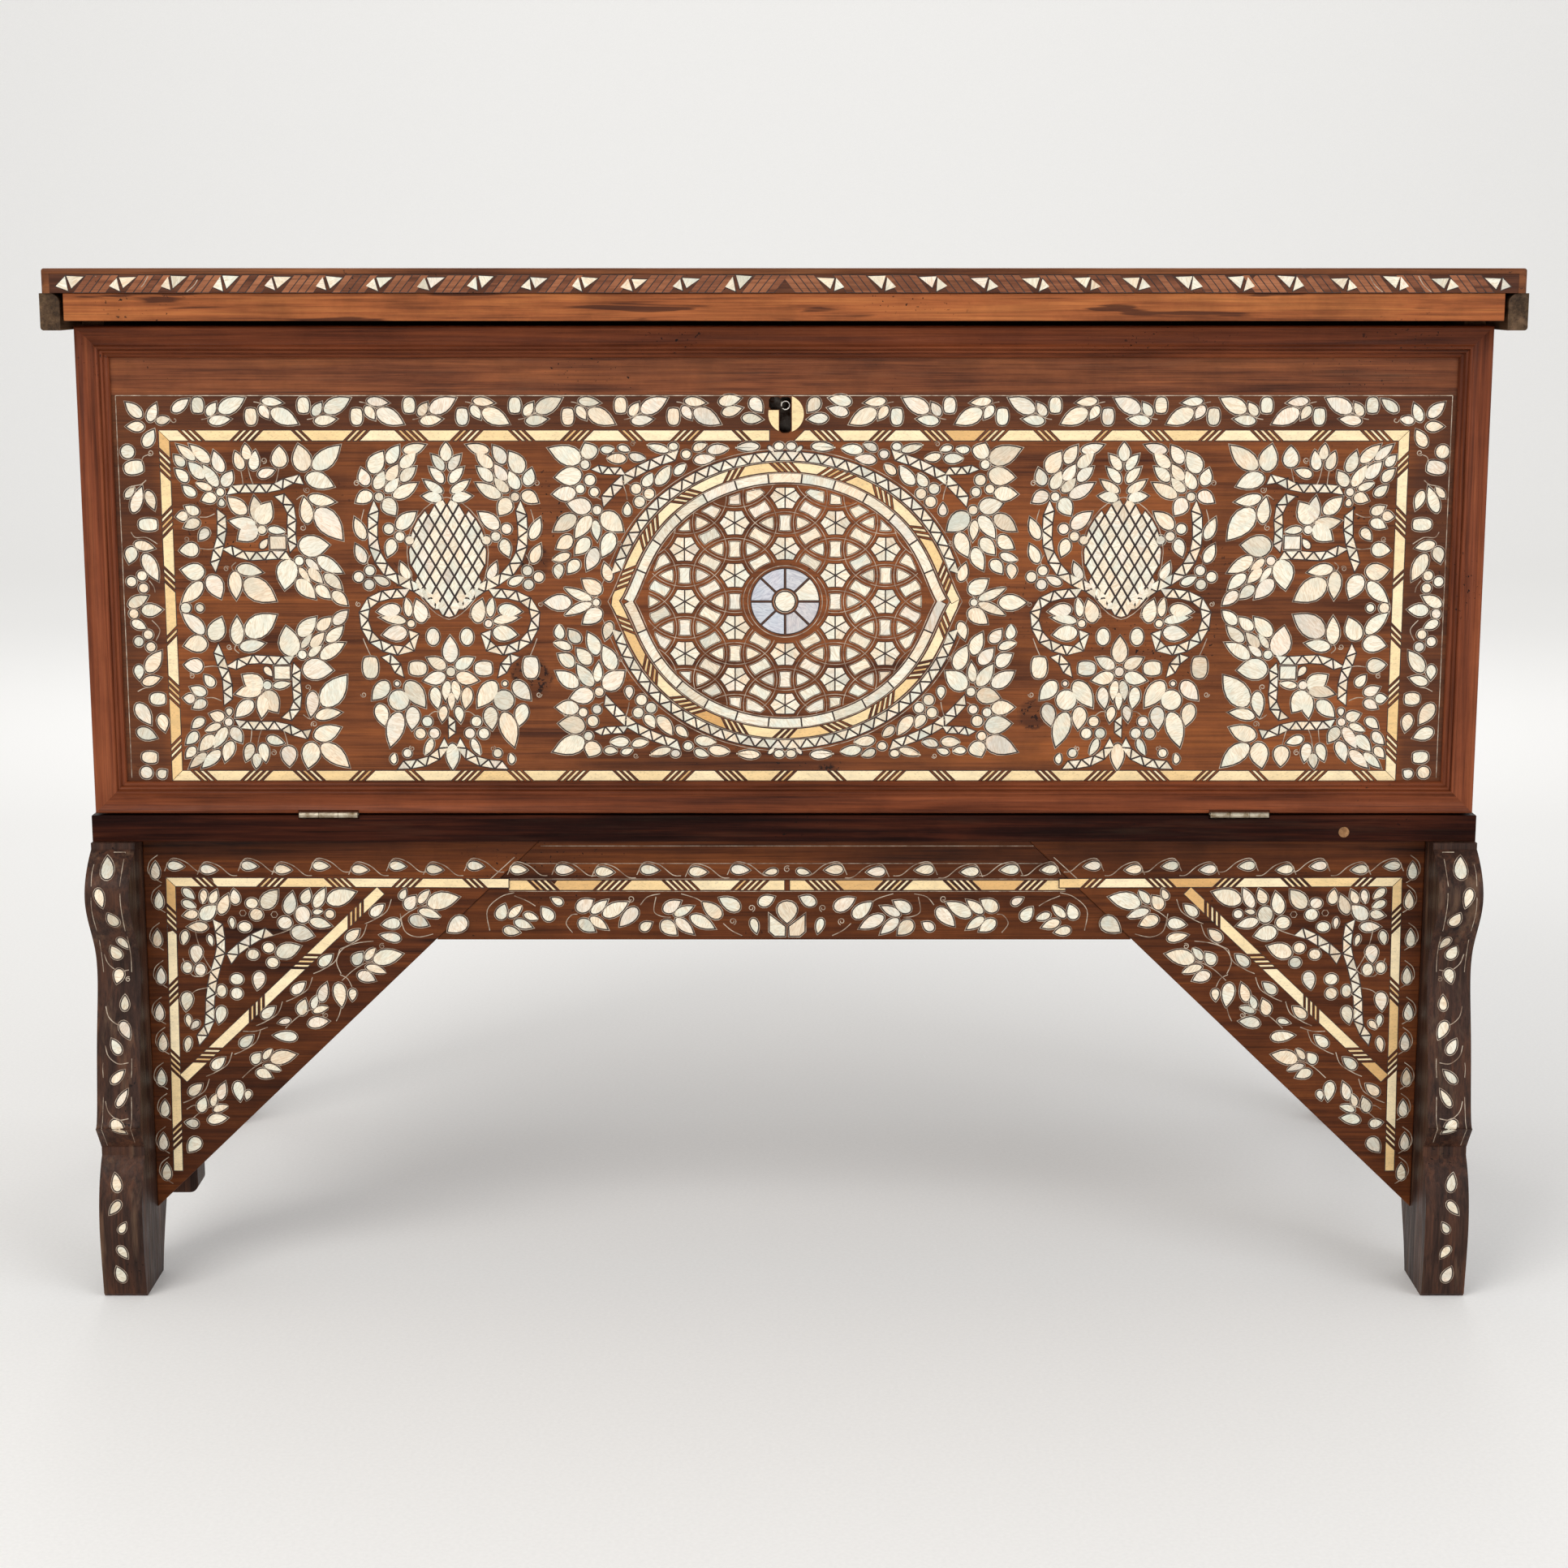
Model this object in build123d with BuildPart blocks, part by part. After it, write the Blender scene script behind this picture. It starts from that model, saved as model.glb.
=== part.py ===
"""Inlaid walnut dowry chest with a lifting lid and a fall front, standing on four board legs.

Frame: +X to the right-hand end as seen from the front, +Y towards the back, +Z up. The origin is on
the floor under the middle of the whole chest. All sizes are millimetres. "Depth" is measured
backwards from the face of the fall front's moulding.
"""

import os

from build123d import *

# ---- driving dimensions -------------------------------------------------------------------
LID_HALF, RAIL_HALF, BOX_HALF = 666.0, 650.0, 646.0  # half widths of lid, base rails and box
BACK = 560.0  # depth of the back's outer face
RAIL_BOTTOM, RAIL_TOP = 437.0, 462.0
FLAP_BOTTOM, FLAP_TOP = 464.0, 915.5
FIELD_TOP = 853.0  # joint between the inlaid field board and the plain board above it
CLEAT_BOTTOM, LID_RAIL_BOTTOM, LID_BOTTOM, LID_TOP = 912.0, 920.5, 945.0, 967.0
LID_FRONT = -30.0  # depth of the lid's front edge

END_T, BACK_T, BOARD_T = 20.0, 20.0, 18.0  # ends, back, and the boards of floor and base
RAIL_W = 58.0
EASE = 0.8  # rounding on the arrises of plain boards
LIFT_GAP = 0.3  # what a closed lid keeps off the boards below it
BACK_SEAMS = (628.0, 792.0)  # heights of the joints between the back boards

MOULDING_W, MOULDING_T = 29.0, 12.0
FLAP_FACE, FLAP_BACK = MOULDING_T, 34.0  # depths of the fall front's inlaid face and inner face
CASE_FRONT = FLAP_BACK + 0.5

RAIL_SETBACK = 1.0  # of the front rail, behind the fall front's face
LEG_T, BACK_LEG_T, LEG_W = 41.0, 25.0, 118.0
LEG_SWELL = 38.0  # how far the front legs swell forward of the fall front
BRACKET_DEPTH, BRACKET_REACH, BRACKET_SLOPE = 25.0, 228.0, 0.965
APRON_BOTTOM, APRON_SETBACK, SEAM = 336.0, 1.5, 0.5

PIN_R, PIN_CLEAR, KNUCKLE_GAP = 1.5, 0.05, 0.4
KNUCKLE_NOTCH = 3.4  # the notches that make room for the fall front's knuckles
FLAP_HINGE_X, FLAP_HINGE_LEN, FLAP_HINGE_R, FLAP_LEAF_T = 427.0, 55.0, 3.0, 0.9
LID_HINGE_X, LID_HINGE_LEN, LID_HINGE_R, LID_LEAF_T = 410.0, 70.0, 3.5, 1.6
LID_PIN_OUT = 4.2  # from the back's face to the lid hinges' pins
FLAP_PIN = (-1.0, (RAIL_TOP + FLAP_BOTTOM) / 2)  # depth and height of the fall front's pins
LID_PIN = (BACK + LID_PIN_OUT, LID_BOTTOM)
SCREW_R, SCREW_HEAD_R, SCREW_LEN = 1.3, 2.6, 12.0

KEYHOLE_X, KEYHOLE_W, KEYHOLE_Z = 1.2, 10.5, (818.0, 851.0)
ESCUTCHEON_T = 0.8
LOCK_Z, LOCK_HALF, LOCK_T, LOCK_WALL = (812.0, 906.0), 36.0, 15.0, 1.5
POST_X, POST_Z, POST_R, POST_WALL, POST_LEN = 1.4, 843.0, 4.6, 1.3, 28.0
BOLT_X, BOLT_DEPTH, BOLT_W, BOLT_T = -16.0, 39.5, 14.0, 6.0
BOLT_Z = (845.0, 911.0)
BOLT_ROOM = 0.8
BAND_T, LIP = 2.0, 5.0  # lid bands' thickness, and the bead left above them
PEG_R, PEG_LEN = 5.0, 30.0

# Y of depth 0, so that the chest's foremost and rearmost points are equally far from the origin.
FRONT = -(BACK + LID_PIN_OUT + LID_HINGE_R - LEG_SWELL) / 2
PEG = (526.0, FRONT + RAIL_SETBACK, 446.0)  # end of the peg that pins the front rail

RIGHT, FORWARD, BACKWARD = Vector(1, 0, 0), Vector(0, -1, 0), Vector(0, 1, 0)
UP, DOWN = Vector(0, 0, 1), Vector(0, 0, -1)


# ---- shared shapes ------------------------------------------------------------------------
def save(part, name):
    """Labels a finished piece and writes it to parts/NAME.step."""
    part.label = name
    export_step(part, f"parts/{name}.step")


def front_plane(depth):
    """A plane at that depth that faces the viewer: its sketches read X and Z."""
    return Plane.XZ.offset(-(FRONT + depth))


def block(x, depth, z, mode=Mode.ADD):
    """In the open part, a box between two X values, two depths and two heights."""
    with BuildSketch(Plane.XY.offset(z[0])) as outline:
        with Locations(((x[0] + x[1]) / 2, FRONT + (depth[0] + depth[1]) / 2)):
            Rectangle(abs(x[1] - x[0]), abs(depth[1] - depth[0]))
    extrude(outline.sketch, amount=z[1] - z[0], mode=mode)


def rod(start, way, length, radius, mode=Mode.ADD):
    """In the open part, a round bar from a point, along a direction."""
    with BuildSketch(Plane(origin=start, z_dir=way)) as end:
        Circle(radius)
    extrude(end.sketch, amount=length, mode=mode)


def save_board(name, x, depth, z, ease=EASE):
    """A plain board with eased arrises."""
    with BuildPart() as board:
        block(x, depth, z)
        if ease:
            fillet(board.edges(), ease)
    save(board.part, name)


def on_side(side, inner, outer):
    """An X span given by distances from the middle plane, on the left (-1) or the right (1)."""
    return tuple(sorted((side * inner, side * outer)))


# ---- box ----------------------------------------------------------------------------------
def end_panels():
    """The two end boards, from the base rails up to the lid."""
    for side, name in ((-1, "left_end_panel"), (1, "right_end_panel")):
        x = on_side(side, BOX_HALF - END_T, BOX_HALF)
        save_board(name, x, (CASE_FRONT, BACK), (RAIL_TOP, LID_BOTTOM - LIFT_GAP))


def back_boards():
    """Three wide boards, edge to edge between the ends; the top one takes the lid hinges' screws."""
    half = BOX_HALF - END_T
    levels = (RAIL_TOP, *BACK_SEAMS, LID_BOTTOM - LIFT_GAP)
    for i, name in enumerate(("back_board_lower", "back_board_middle", "back_board_upper")):
        with BuildPart() as board:
            block((-half, half), (BACK - BACK_T, BACK), levels[i : i + 2])
            fillet(board.edges(), EASE)
            if name == "back_board_upper":
                for spot in back_leaf_screws():
                    rod(spot, FORWARD, SCREW_LEN, SCREW_R, Mode.SUBTRACT)
        save(board.part, name)


def case_floor():
    half = BOX_HALF - END_T
    save_board("case_floor", (-half, half), (CASE_FRONT, BACK - BACK_T), (RAIL_TOP, RAIL_TOP + BOARD_T))


def base_rails():
    """The flat frame that carries the box. The front rail is notched for the fall front's hinges."""
    with BuildPart() as front:
        block((-RAIL_HALF, RAIL_HALF), (RAIL_SETBACK, RAIL_W), (RAIL_BOTTOM, RAIL_TOP))
        fillet(front.edges(), EASE)
        for x in hinge_spans(FLAP_HINGE_X, FLAP_HINGE_LEN + 2):
            block(x, (0, KNUCKLE_NOTCH), (RAIL_TOP - KNUCKLE_NOTCH, RAIL_TOP + 1), Mode.SUBTRACT)
        rod(PEG, BACKWARD, PEG_LEN, PEG_R, Mode.SUBTRACT)
        for spot in rail_screws():
            rod(spot, DOWN, SCREW_LEN, SCREW_R, Mode.SUBTRACT)
    save(front.part, "base_rail_front")
    with BuildPart() as peg:
        rod(PEG, BACKWARD, PEG_LEN, PEG_R)
    save(peg.part, "rail_peg")
    for side, name in ((-1, "base_rail_left"), (1, "base_rail_right")):
        x = on_side(side, RAIL_HALF - RAIL_W, RAIL_HALF)
        save_board(name, x, (RAIL_W, BACK - RAIL_W), (RAIL_BOTTOM, RAIL_TOP))
    save_board("base_rail_back", (-RAIL_HALF, RAIL_HALF), (BACK - RAIL_W, BACK), (RAIL_BOTTOM, RAIL_TOP))


# ---- base ---------------------------------------------------------------------------------
def side_point(depth, z):
    """A point of a leg's side profile."""
    return (FRONT + depth, z)


def heel(depth_of):
    """The curved edge of a leg that faces the chest's middle, from the floor up to its full width."""
    outline = ((0, 0), (24, 60), (50, 126), (44, 184), (66, 330))
    return [side_point(depth_of(out), z) for out, z in outline]


def front_legs():
    """Thick board legs. The front edge swells at the knee, sinks, swells again and steps in at the foot."""
    heel_start = LEG_W - 80
    for side, name in ((-1, "front_left_leg"), (1, "front_right_leg")):
        x = on_side(side, RAIL_HALF - LEG_T, RAIL_HALF)
        with BuildPart() as leg:
            with BuildSketch(Plane.YZ.offset(x[0])):
                with BuildLine():
                    knee = Spline(
                        side_point(-6, RAIL_BOTTOM - 6), side_point(-LEG_SWELL, 388), side_point(-9, 336),
                        side_point(-18, 245), side_point(-LEG_SWELL, 168), side_point(-18, 144),
                        tangents=((-1, -0.6), (0.8, -1)),
                    )
                    foot = Spline(
                        side_point(-18, 136), side_point(-36, 100), side_point(-34, 3),
                        tangents=((-0.9, -1), (0.1, -1)),
                    )
                    Line(knee @ 1, foot @ 0)
                    Polyline(foot @ 1, side_point(-31, 0), side_point(heel_start, 0))
                    inner = Spline(*heel(lambda out: heel_start + out), tangents=((0.25, 1), (0.3, 1)))
                    Polyline(inner @ 1, side_point(LEG_W, 352), side_point(LEG_W, RAIL_BOTTOM),
                             side_point(-6, RAIL_BOTTOM), knee @ 0)
                make_face()
            extrude(amount=LEG_T)
        save(leg.part, name)


def back_legs():
    """Thinner plain legs, straight behind and curved on the edge that faces the chest's middle."""
    heel_start = BACK - (LEG_W - 80) - 14
    for side, name in ((-1, "back_left_leg"), (1, "back_right_leg")):
        x = on_side(side, RAIL_HALF - BACK_LEG_T, RAIL_HALF)
        with BuildPart() as leg:
            with BuildSketch(Plane.YZ.offset(x[0])):
                with BuildLine():
                    inner = Spline(*heel(lambda out: heel_start - out), tangents=((-0.25, 1), (-0.3, 1)))
                    Polyline(inner @ 1, side_point(BACK - LEG_W, 352), side_point(BACK - LEG_W, RAIL_BOTTOM),
                             side_point(BACK, RAIL_BOTTOM), side_point(BACK, 0), inner @ 0)
                make_face()
            extrude(amount=BACK_LEG_T)
        save(leg.part, name)


def brackets():
    """Triangular boards in the front corners, butted against the legs."""
    inner = RAIL_HALF - LEG_T
    tip_z = RAIL_BOTTOM - (inner - BRACKET_REACH) * BRACKET_SLOPE
    for side, name in ((-1, "left_bracket"), (1, "right_bracket")):
        with BuildPart() as bracket:
            with BuildSketch(front_plane(BRACKET_DEPTH + BOARD_T)):
                with BuildLine():
                    corner, reach = side * inner, side * BRACKET_REACH
                    Polyline((corner, RAIL_BOTTOM), (reach, RAIL_BOTTOM), (corner, tip_z), close=True)
                make_face()
            extrude(amount=BOARD_T)
        save(bracket.part, name)


def apron_board():
    """The board let in between the two brackets. Its ends follow the brackets' slope."""
    half_top = BRACKET_REACH - SEAM
    half_bottom = half_top + (RAIL_BOTTOM - APRON_BOTTOM) / BRACKET_SLOPE
    with BuildPart() as apron:
        with BuildSketch(front_plane(BRACKET_DEPTH + APRON_SETBACK + BOARD_T)):
            with BuildLine():
                Polyline((-half_top, RAIL_BOTTOM), (half_top, RAIL_BOTTOM), (half_bottom, APRON_BOTTOM),
                         (-half_bottom, APRON_BOTTOM), close=True)
            make_face()
        extrude(amount=BOARD_T)
    save(apron.part, "apron_board")


def corner_blocks():
    """Glue blocks between brackets and legs. The left one is long and shows below its bracket."""
    width, thick = 36.0, 34.0
    inner = RAIL_HALF - LEG_T
    for side, low, name in ((-1, 78.0, "left_corner_block"), (1, 150.0, "right_corner_block")):
        x = on_side(side, inner - width, inner)
        with BuildPart() as corner:
            block(x, (BRACKET_DEPTH + BOARD_T, BRACKET_DEPTH + BOARD_T + thick), (low, RAIL_BOTTOM))
            foot_edges = corner.edges().filter_by(Axis.Y).group_by(Axis.Z)[0]
            fillet(foot_edges.sort_by(Axis.X)[-1 if side < 0 else 0], 8.0)
        save(corner.part, name)


def plain_aprons():
    """Arched boards under the end rails, between the legs, and a straight one under the back rail."""
    setback, spring_z, crown_z = 8.0, 336.0, 372.0
    ends = (LEG_W, BACK - LEG_W)
    for side, name in ((-1, "left_side_apron"), (1, "right_side_apron")):
        x = on_side(side, RAIL_HALF - setback - BOARD_T, RAIL_HALF - setback)
        with BuildPart() as apron:
            with BuildSketch(Plane.YZ.offset(x[0])):
                with BuildLine():
                    top = Polyline(side_point(ends[0], spring_z), side_point(ends[0], RAIL_BOTTOM),
                                   side_point(ends[1], RAIL_BOTTOM), side_point(ends[1], spring_z))
                    ThreePointArc(top @ 0, side_point(sum(ends) / 2, crown_z), top @ 1)
                make_face()
            extrude(amount=BOARD_T)
        save(apron.part, name)
    half, depth = RAIL_HALF - BACK_LEG_T, BACK - 6
    save_board("back_apron", (-half, half), (depth - BOARD_T, depth), (362.0, RAIL_BOTTOM))


# ---- fall front ---------------------------------------------------------------------------
def moulding_section(plane):
    """Section of the applied moulding. x runs inwards from the outer edge and y stands off the board."""
    w, t = MOULDING_W, MOULDING_T
    with BuildSketch(plane) as section:
        with BuildLine():
            Line((0, 0), (0, t - 2.5))
            ThreePointArc((0, t - 2.5), (0.8, t - 0.8), (2.6, t))
            ThreePointArc((2.6, t), (10.3, t - 2.6), (18.0, t - 1.0))
            ThreePointArc((18.0, t - 1.0), (19.6, t), (21.2, t - 1.0))
            Line((21.2, t - 1.0), (21.6, t - 3.6))
            ThreePointArc((21.6, t - 3.6), (23.2, t - 3.0), (24.8, t - 4.6))
            Line((24.8, t - 4.6), (25.2, t - 6.8))
            ThreePointArc((25.2, t - 6.8), (27.4, t - 7.2), (w, t - 9.6))
            Polyline((w, t - 9.6), (w, 0), (0, 0))
        make_face()
    return section.sketch


def mouldings():
    """Four lengths of moulding, mitred at the corners, framing the fall front."""
    mid_z, half_z = (FLAP_TOP + FLAP_BOTTOM) / 2, (FLAP_TOP - FLAP_BOTTOM) / 2
    # For each length: the middle of its outer edge, the way it runs, the way inwards, half its length.
    lengths = {
        "left": (Vector(-BOX_HALF, FRONT + FLAP_FACE, mid_z), Vector(0, 0, -1), Vector(1, 0, 0), half_z),
        "right": (Vector(BOX_HALF, FRONT + FLAP_FACE, mid_z), Vector(0, 0, 1), Vector(-1, 0, 0), half_z),
        "top": (Vector(0, FRONT + FLAP_FACE, FLAP_TOP), Vector(-1, 0, 0), Vector(0, 0, -1), BOX_HALF),
        "bottom": (Vector(0, FRONT + FLAP_FACE, FLAP_BOTTOM), Vector(1, 0, 0), Vector(0, 0, 1), BOX_HALF),
    }
    for edge, (middle, along, inward, half) in lengths.items():
        with BuildPart() as length:
            section = moulding_section(Plane(origin=middle - along * half, x_dir=inward, z_dir=along))
            extrude(section, amount=2 * half)
            for end in (-1, 1):
                mitre = Plane(origin=middle + along * (half * end), z_dir=along * end + inward)
                split(bisect_by=mitre, keep=Keep.BOTTOM)
            if edge == "bottom":
                notch_z = (FLAP_BOTTOM - 1, FLAP_BOTTOM + KNUCKLE_NOTCH)
                for x in hinge_spans(FLAP_HINGE_X, FLAP_HINGE_LEN + 2):
                    block(x, (-1, KNUCKLE_NOTCH), notch_z, Mode.SUBTRACT)
        save(length.part, f"flap_{edge}_moulding")


def cut_keyhole(near, far):
    """In the open part, cuts the keyhole's slot and the break at its upper left, between two depths."""
    with BuildSketch(front_plane(far)) as hole:
        with Locations((KEYHOLE_X, sum(KEYHOLE_Z) / 2)):
            RectangleRounded(KEYHOLE_W, KEYHOLE_Z[1] - KEYHOLE_Z[0], 3.5)
        with Locations((KEYHOLE_X - 9.5, KEYHOLE_Z[1] - 6)):
            RectangleRounded(9, 12, 1.5)
            Rectangle(11, 8)
    extrude(hole.sketch, amount=far - near, mode=Mode.SUBTRACT)


def fall_front_boards():
    """The field board, bored for the keyhole, the lock and the hinges, and the plain board above it."""
    with BuildPart() as field:
        block((-BOX_HALF, BOX_HALF), (FLAP_FACE, FLAP_BACK), (FLAP_BOTTOM, FIELD_TOP))
        cut_keyhole(FLAP_FACE - 1, FLAP_BACK + 1)
        for spot in flap_screws():
            rod(spot, UP, SCREW_LEN, SCREW_R, Mode.SUBTRACT)
        for spot in lock_screws():
            if spot[2] < FIELD_TOP:
                rod(spot, FORWARD, SCREW_LEN, SCREW_R, Mode.SUBTRACT)
    save(field.part, "flap_field_board")
    with BuildPart() as top:
        block((-BOX_HALF, BOX_HALF), (FLAP_FACE, FLAP_BACK), (FIELD_TOP, FLAP_TOP))
        for spot in lock_screws():
            if spot[2] > FIELD_TOP:
                rod(spot, FORWARD, SCREW_LEN, SCREW_R, Mode.SUBTRACT)
    save(top.part, "flap_top_board")


def keyhole_escutcheon():
    """The oval bone plate round the keyhole, in the two pieces that are left of it."""
    with BuildPart() as plate:
        with BuildSketch(front_plane(FLAP_FACE)):
            with Locations((KEYHOLE_X + 0.7, sum(KEYHOLE_Z) / 2 + 1)):
                Ellipse(16.3, 17.0)
            with Locations((KEYHOLE_X, sum(KEYHOLE_Z) / 2)):
                Rectangle(KEYHOLE_W + 1.6, 60, mode=Mode.SUBTRACT)
            with Locations((KEYHOLE_X - 20, KEYHOLE_Z[1] + 4)):
                Rectangle(40, 32, mode=Mode.SUBTRACT)
        extrude(amount=ESCUTCHEON_T)
    save(plate.part, "keyhole_escutcheon")


def lock():
    """A sprung box lock screwed to the fall front's inner face; its bolt shoots upwards."""
    low, high = LOCK_Z
    inside = FLAP_BACK + LOCK_WALL
    with BuildPart() as plate:
        block((-LOCK_HALF - 14, LOCK_HALF + 14), (FLAP_BACK, inside), LOCK_Z)
        fillet(plate.edges().filter_by(Axis.Y), 4)
        cut_keyhole(FLAP_BACK - 1, inside + 1)
        for spot in lock_screws():
            rod(spot, BACKWARD, LOCK_WALL, SCREW_R, Mode.SUBTRACT)
    save(plate.part, "lock_plate")
    with BuildPart() as cover:
        block((-LOCK_HALF, LOCK_HALF), (inside, inside + LOCK_T), LOCK_Z)
        fillet(cover.faces().sort_by(Axis.Y)[-1].edges(), 1.4)
        block((-LOCK_HALF + LOCK_WALL, LOCK_HALF - LOCK_WALL), (inside, inside + LOCK_T - LOCK_WALL),
              (low + LOCK_WALL, high - LOCK_WALL), Mode.SUBTRACT)
        bolt_passage((high - 5, high + 1))
    save(cover.part, "lock_cover")
    with BuildPart() as post:
        far = inside + LOCK_T - LOCK_WALL
        start = (POST_X, FRONT + far, POST_Z)
        rod(start, FORWARD, POST_LEN, POST_R)
        rod(start, FORWARD, POST_LEN, POST_R - POST_WALL, Mode.SUBTRACT)
        split_z = (POST_Z - 2.6, POST_Z + 3.0)
        block((POST_X - POST_R, POST_X - 1), (far - POST_LEN, far - 3), split_z, Mode.SUBTRACT)
    save(post.part, "lock_key_post")
    with BuildPart() as bolt:
        half_w, half_t = BOLT_W / 2, BOLT_T / 2
        block((BOLT_X - half_w, BOLT_X + half_w), (BOLT_DEPTH - half_t, BOLT_DEPTH + half_t), BOLT_Z)
        chamfer(bolt.faces().sort_by(Axis.Z)[-1].edges(), 0.8)
    save(bolt.part, "lock_bolt")
    with BuildPart() as screws:
        for spot in lock_screws():
            head = (spot[0], FRONT + inside + 1.4, spot[2])
            rod(head, FORWARD, 1.4, SCREW_HEAD_R)
            rod(head, FORWARD, 1.4 + LOCK_WALL + SCREW_LEN - 2, SCREW_R)
    save(screws.part, "lock_screws")


def bolt_passage(z):
    """In the open part, cuts a clear way for the bolt between two heights."""
    half_w, half_t = BOLT_W / 2 + BOLT_ROOM, BOLT_T / 2 + BOLT_ROOM
    block((BOLT_X - half_w, BOLT_X + half_w), (BOLT_DEPTH - half_t, BOLT_DEPTH + half_t), z, Mode.SUBTRACT)


# ---- lid ----------------------------------------------------------------------------------
def edge_bands():
    """X span and depth span of the inlaid bands let into the lid's front edge and its two ends."""
    stop = 8.0
    inner = LID_HALF - BAND_T
    return {
        "lid_front_band": ((stop - LID_HALF, LID_HALF - stop), (LID_FRONT, LID_FRONT + BAND_T)),
        "lid_left_band": ((-LID_HALF, -inner), (LID_FRONT + stop, BACK - stop)),
        "lid_right_band": ((inner, LID_HALF), (LID_FRONT + stop, BACK - stop)),
    }


def lid_board():
    """The lid's wide board, rounded at the front corners and rebated for the inlaid bands."""
    band_z = (LID_BOTTOM, LID_TOP - LIP)
    with BuildPart() as board:
        block((-LID_HALF, LID_HALF), (LID_FRONT, BACK), (LID_BOTTOM, LID_TOP))
        fillet(board.edges().filter_by(Axis.Z).group_by(Axis.Y)[0], 5.0)
        fillet(board.faces().sort_by(Axis.Z)[-1].edges(), 2.5)
        for x, depth in edge_bands().values():
            block(x, depth, band_z, Mode.SUBTRACT)
        for spot in lid_leaf_screws():
            rod(spot, FORWARD, SCREW_LEN, SCREW_R, Mode.SUBTRACT)
    save(board.part, "lid_board")
    for name, (x, depth) in edge_bands().items():
        save_board(name, x, depth, band_z, 0)


def lid_rail_and_cleats():
    """The rail under the lid's front edge and the cleats under its ends, which close over the box."""
    half = RAIL_HALF - 3
    save_board("lid_front_rail", (-half, half), (LID_FRONT + 2, FLAP_BACK), (LID_RAIL_BOTTOM, LID_BOTTOM))
    for side, name in ((-1, "lid_left_cleat"), (1, "lid_right_cleat")):
        x = on_side(side, RAIL_HALF + 0.5, LID_HALF + 2.5)
        with BuildPart() as cleat:
            block(x, (LID_FRONT + 3, BACK), (CLEAT_BOTTOM, LID_BOTTOM))
            long_edges = cleat.edges().filter_by(Axis.Y)
            by_side = long_edges.group_by(Axis.X)
            inner_edges, outer_edges = (by_side[-1], by_side[0]) if side < 0 else (by_side[0], by_side[-1])
            fillet(inner_edges.sort_by(Axis.Z)[-1], 9.0)
            fillet(outer_edges.sort_by(Axis.Z)[0], 3.0)
        save(cleat.part, name)


def lock_striker():
    """Two blocks under the lid with room for the bolt between them, and the iron plate across them."""
    half_block, gap = 60.0, BOLT_W / 2 + BOLT_ROOM
    depth, z = (FLAP_BACK, FLAP_BACK + 26), (LID_RAIL_BOTTOM, LID_BOTTOM)
    save_board("lid_lock_block_left", (-half_block, BOLT_X - gap), depth, z, 0)
    save_board("lid_lock_block_right", (BOLT_X + gap, half_block), depth, z, 0)
    with BuildPart() as plate:
        plate_z = (LID_RAIL_BOTTOM - LOCK_WALL, LID_RAIL_BOTTOM)
        block((BOLT_X - 24, BOLT_X + 24), (FLAP_BACK + 0.5, FLAP_BACK + 14), plate_z)
        bolt_passage((LID_RAIL_BOTTOM - 3, LID_RAIL_BOTTOM + 1))
    save(plate.part, "lock_strike_plate")


# ---- hinges -------------------------------------------------------------------------------
def hinge_spans(x, length):
    """X spans of a pair of hinges, one each side of the middle."""
    return [(s * x - length / 2, s * x + length / 2) for s in (-1, 1)]


def knuckle(x, length, i):
    """X span of knuckle 0, 1 or 2 of a hinge."""
    third = length / 3
    return (x[0] + i * third + KNUCKLE_GAP / 2, x[0] + (i + 1) * third - KNUCKLE_GAP / 2)


def hinge_leaves(name, spans, pin, radius, owned, leaf, web, screws, head_t):
    """The same leaf of a pair of hinges.

    leaf holds its depth and height spans, web those of the strip that runs into each owned knuckle,
    and screws the points and direction at which its screws go in.
    """
    spots, way = screws
    with BuildPart() as leaves:
        for x in spans:
            block(x, *leaf)
            for i in owned:
                span = knuckle(x, x[1] - x[0], i)
                rod((span[0], FRONT + pin[0], pin[1]), RIGHT, span[1] - span[0], radius)
                block(span, *web)
            rod((x[0] - 1, FRONT + pin[0], pin[1]), RIGHT, x[1] - x[0] + 2, PIN_R + PIN_CLEAR, Mode.SUBTRACT)
        for spot in spots:
            rod(spot, way, head_t, SCREW_HEAD_R, Mode.SUBTRACT)
            rod(spot, way * -1, head_t, SCREW_HEAD_R, Mode.SUBTRACT)
    save(leaves.part, name)


def hinge_pins(name, spans, pin):
    with BuildPart() as pins:
        for x in spans:
            rod((x[0], FRONT + pin[0], pin[1]), RIGHT, x[1] - x[0], PIN_R)
    save(pins.part, name)


def save_screws(name, groups):
    """Screws flush in their leaves. A group is its points, its direction and its leaf's thickness."""
    with BuildPart() as screws:
        for spots, way, head_t in groups:
            for spot in spots:
                head = Vector(*spot) - way * head_t
                rod(head, way, head_t, SCREW_HEAD_R)
                rod(head, way, head_t + SCREW_LEN - 1, SCREW_R)
    save(screws.part, name)


def screw_spots(x, spread, depth, z):
    """Two screws in each hinge of a pair, at the surface of the wood that they enter."""
    return [(s * x + t * spread, FRONT + depth, z) for s in (-1, 1) for t in (-1, 1)]


def rail_screws():
    return screw_spots(FLAP_HINGE_X, 18, 19, RAIL_TOP)


def flap_screws():
    return screw_spots(FLAP_HINGE_X, 18, FLAP_FACE + 11, FLAP_BOTTOM)


def back_leaf_screws():
    return screw_spots(LID_HINGE_X, 24, BACK, LID_BOTTOM - 14)


def lid_leaf_screws():
    return screw_spots(LID_HINGE_X, 24, BACK, LID_BOTTOM + 12)


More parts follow.
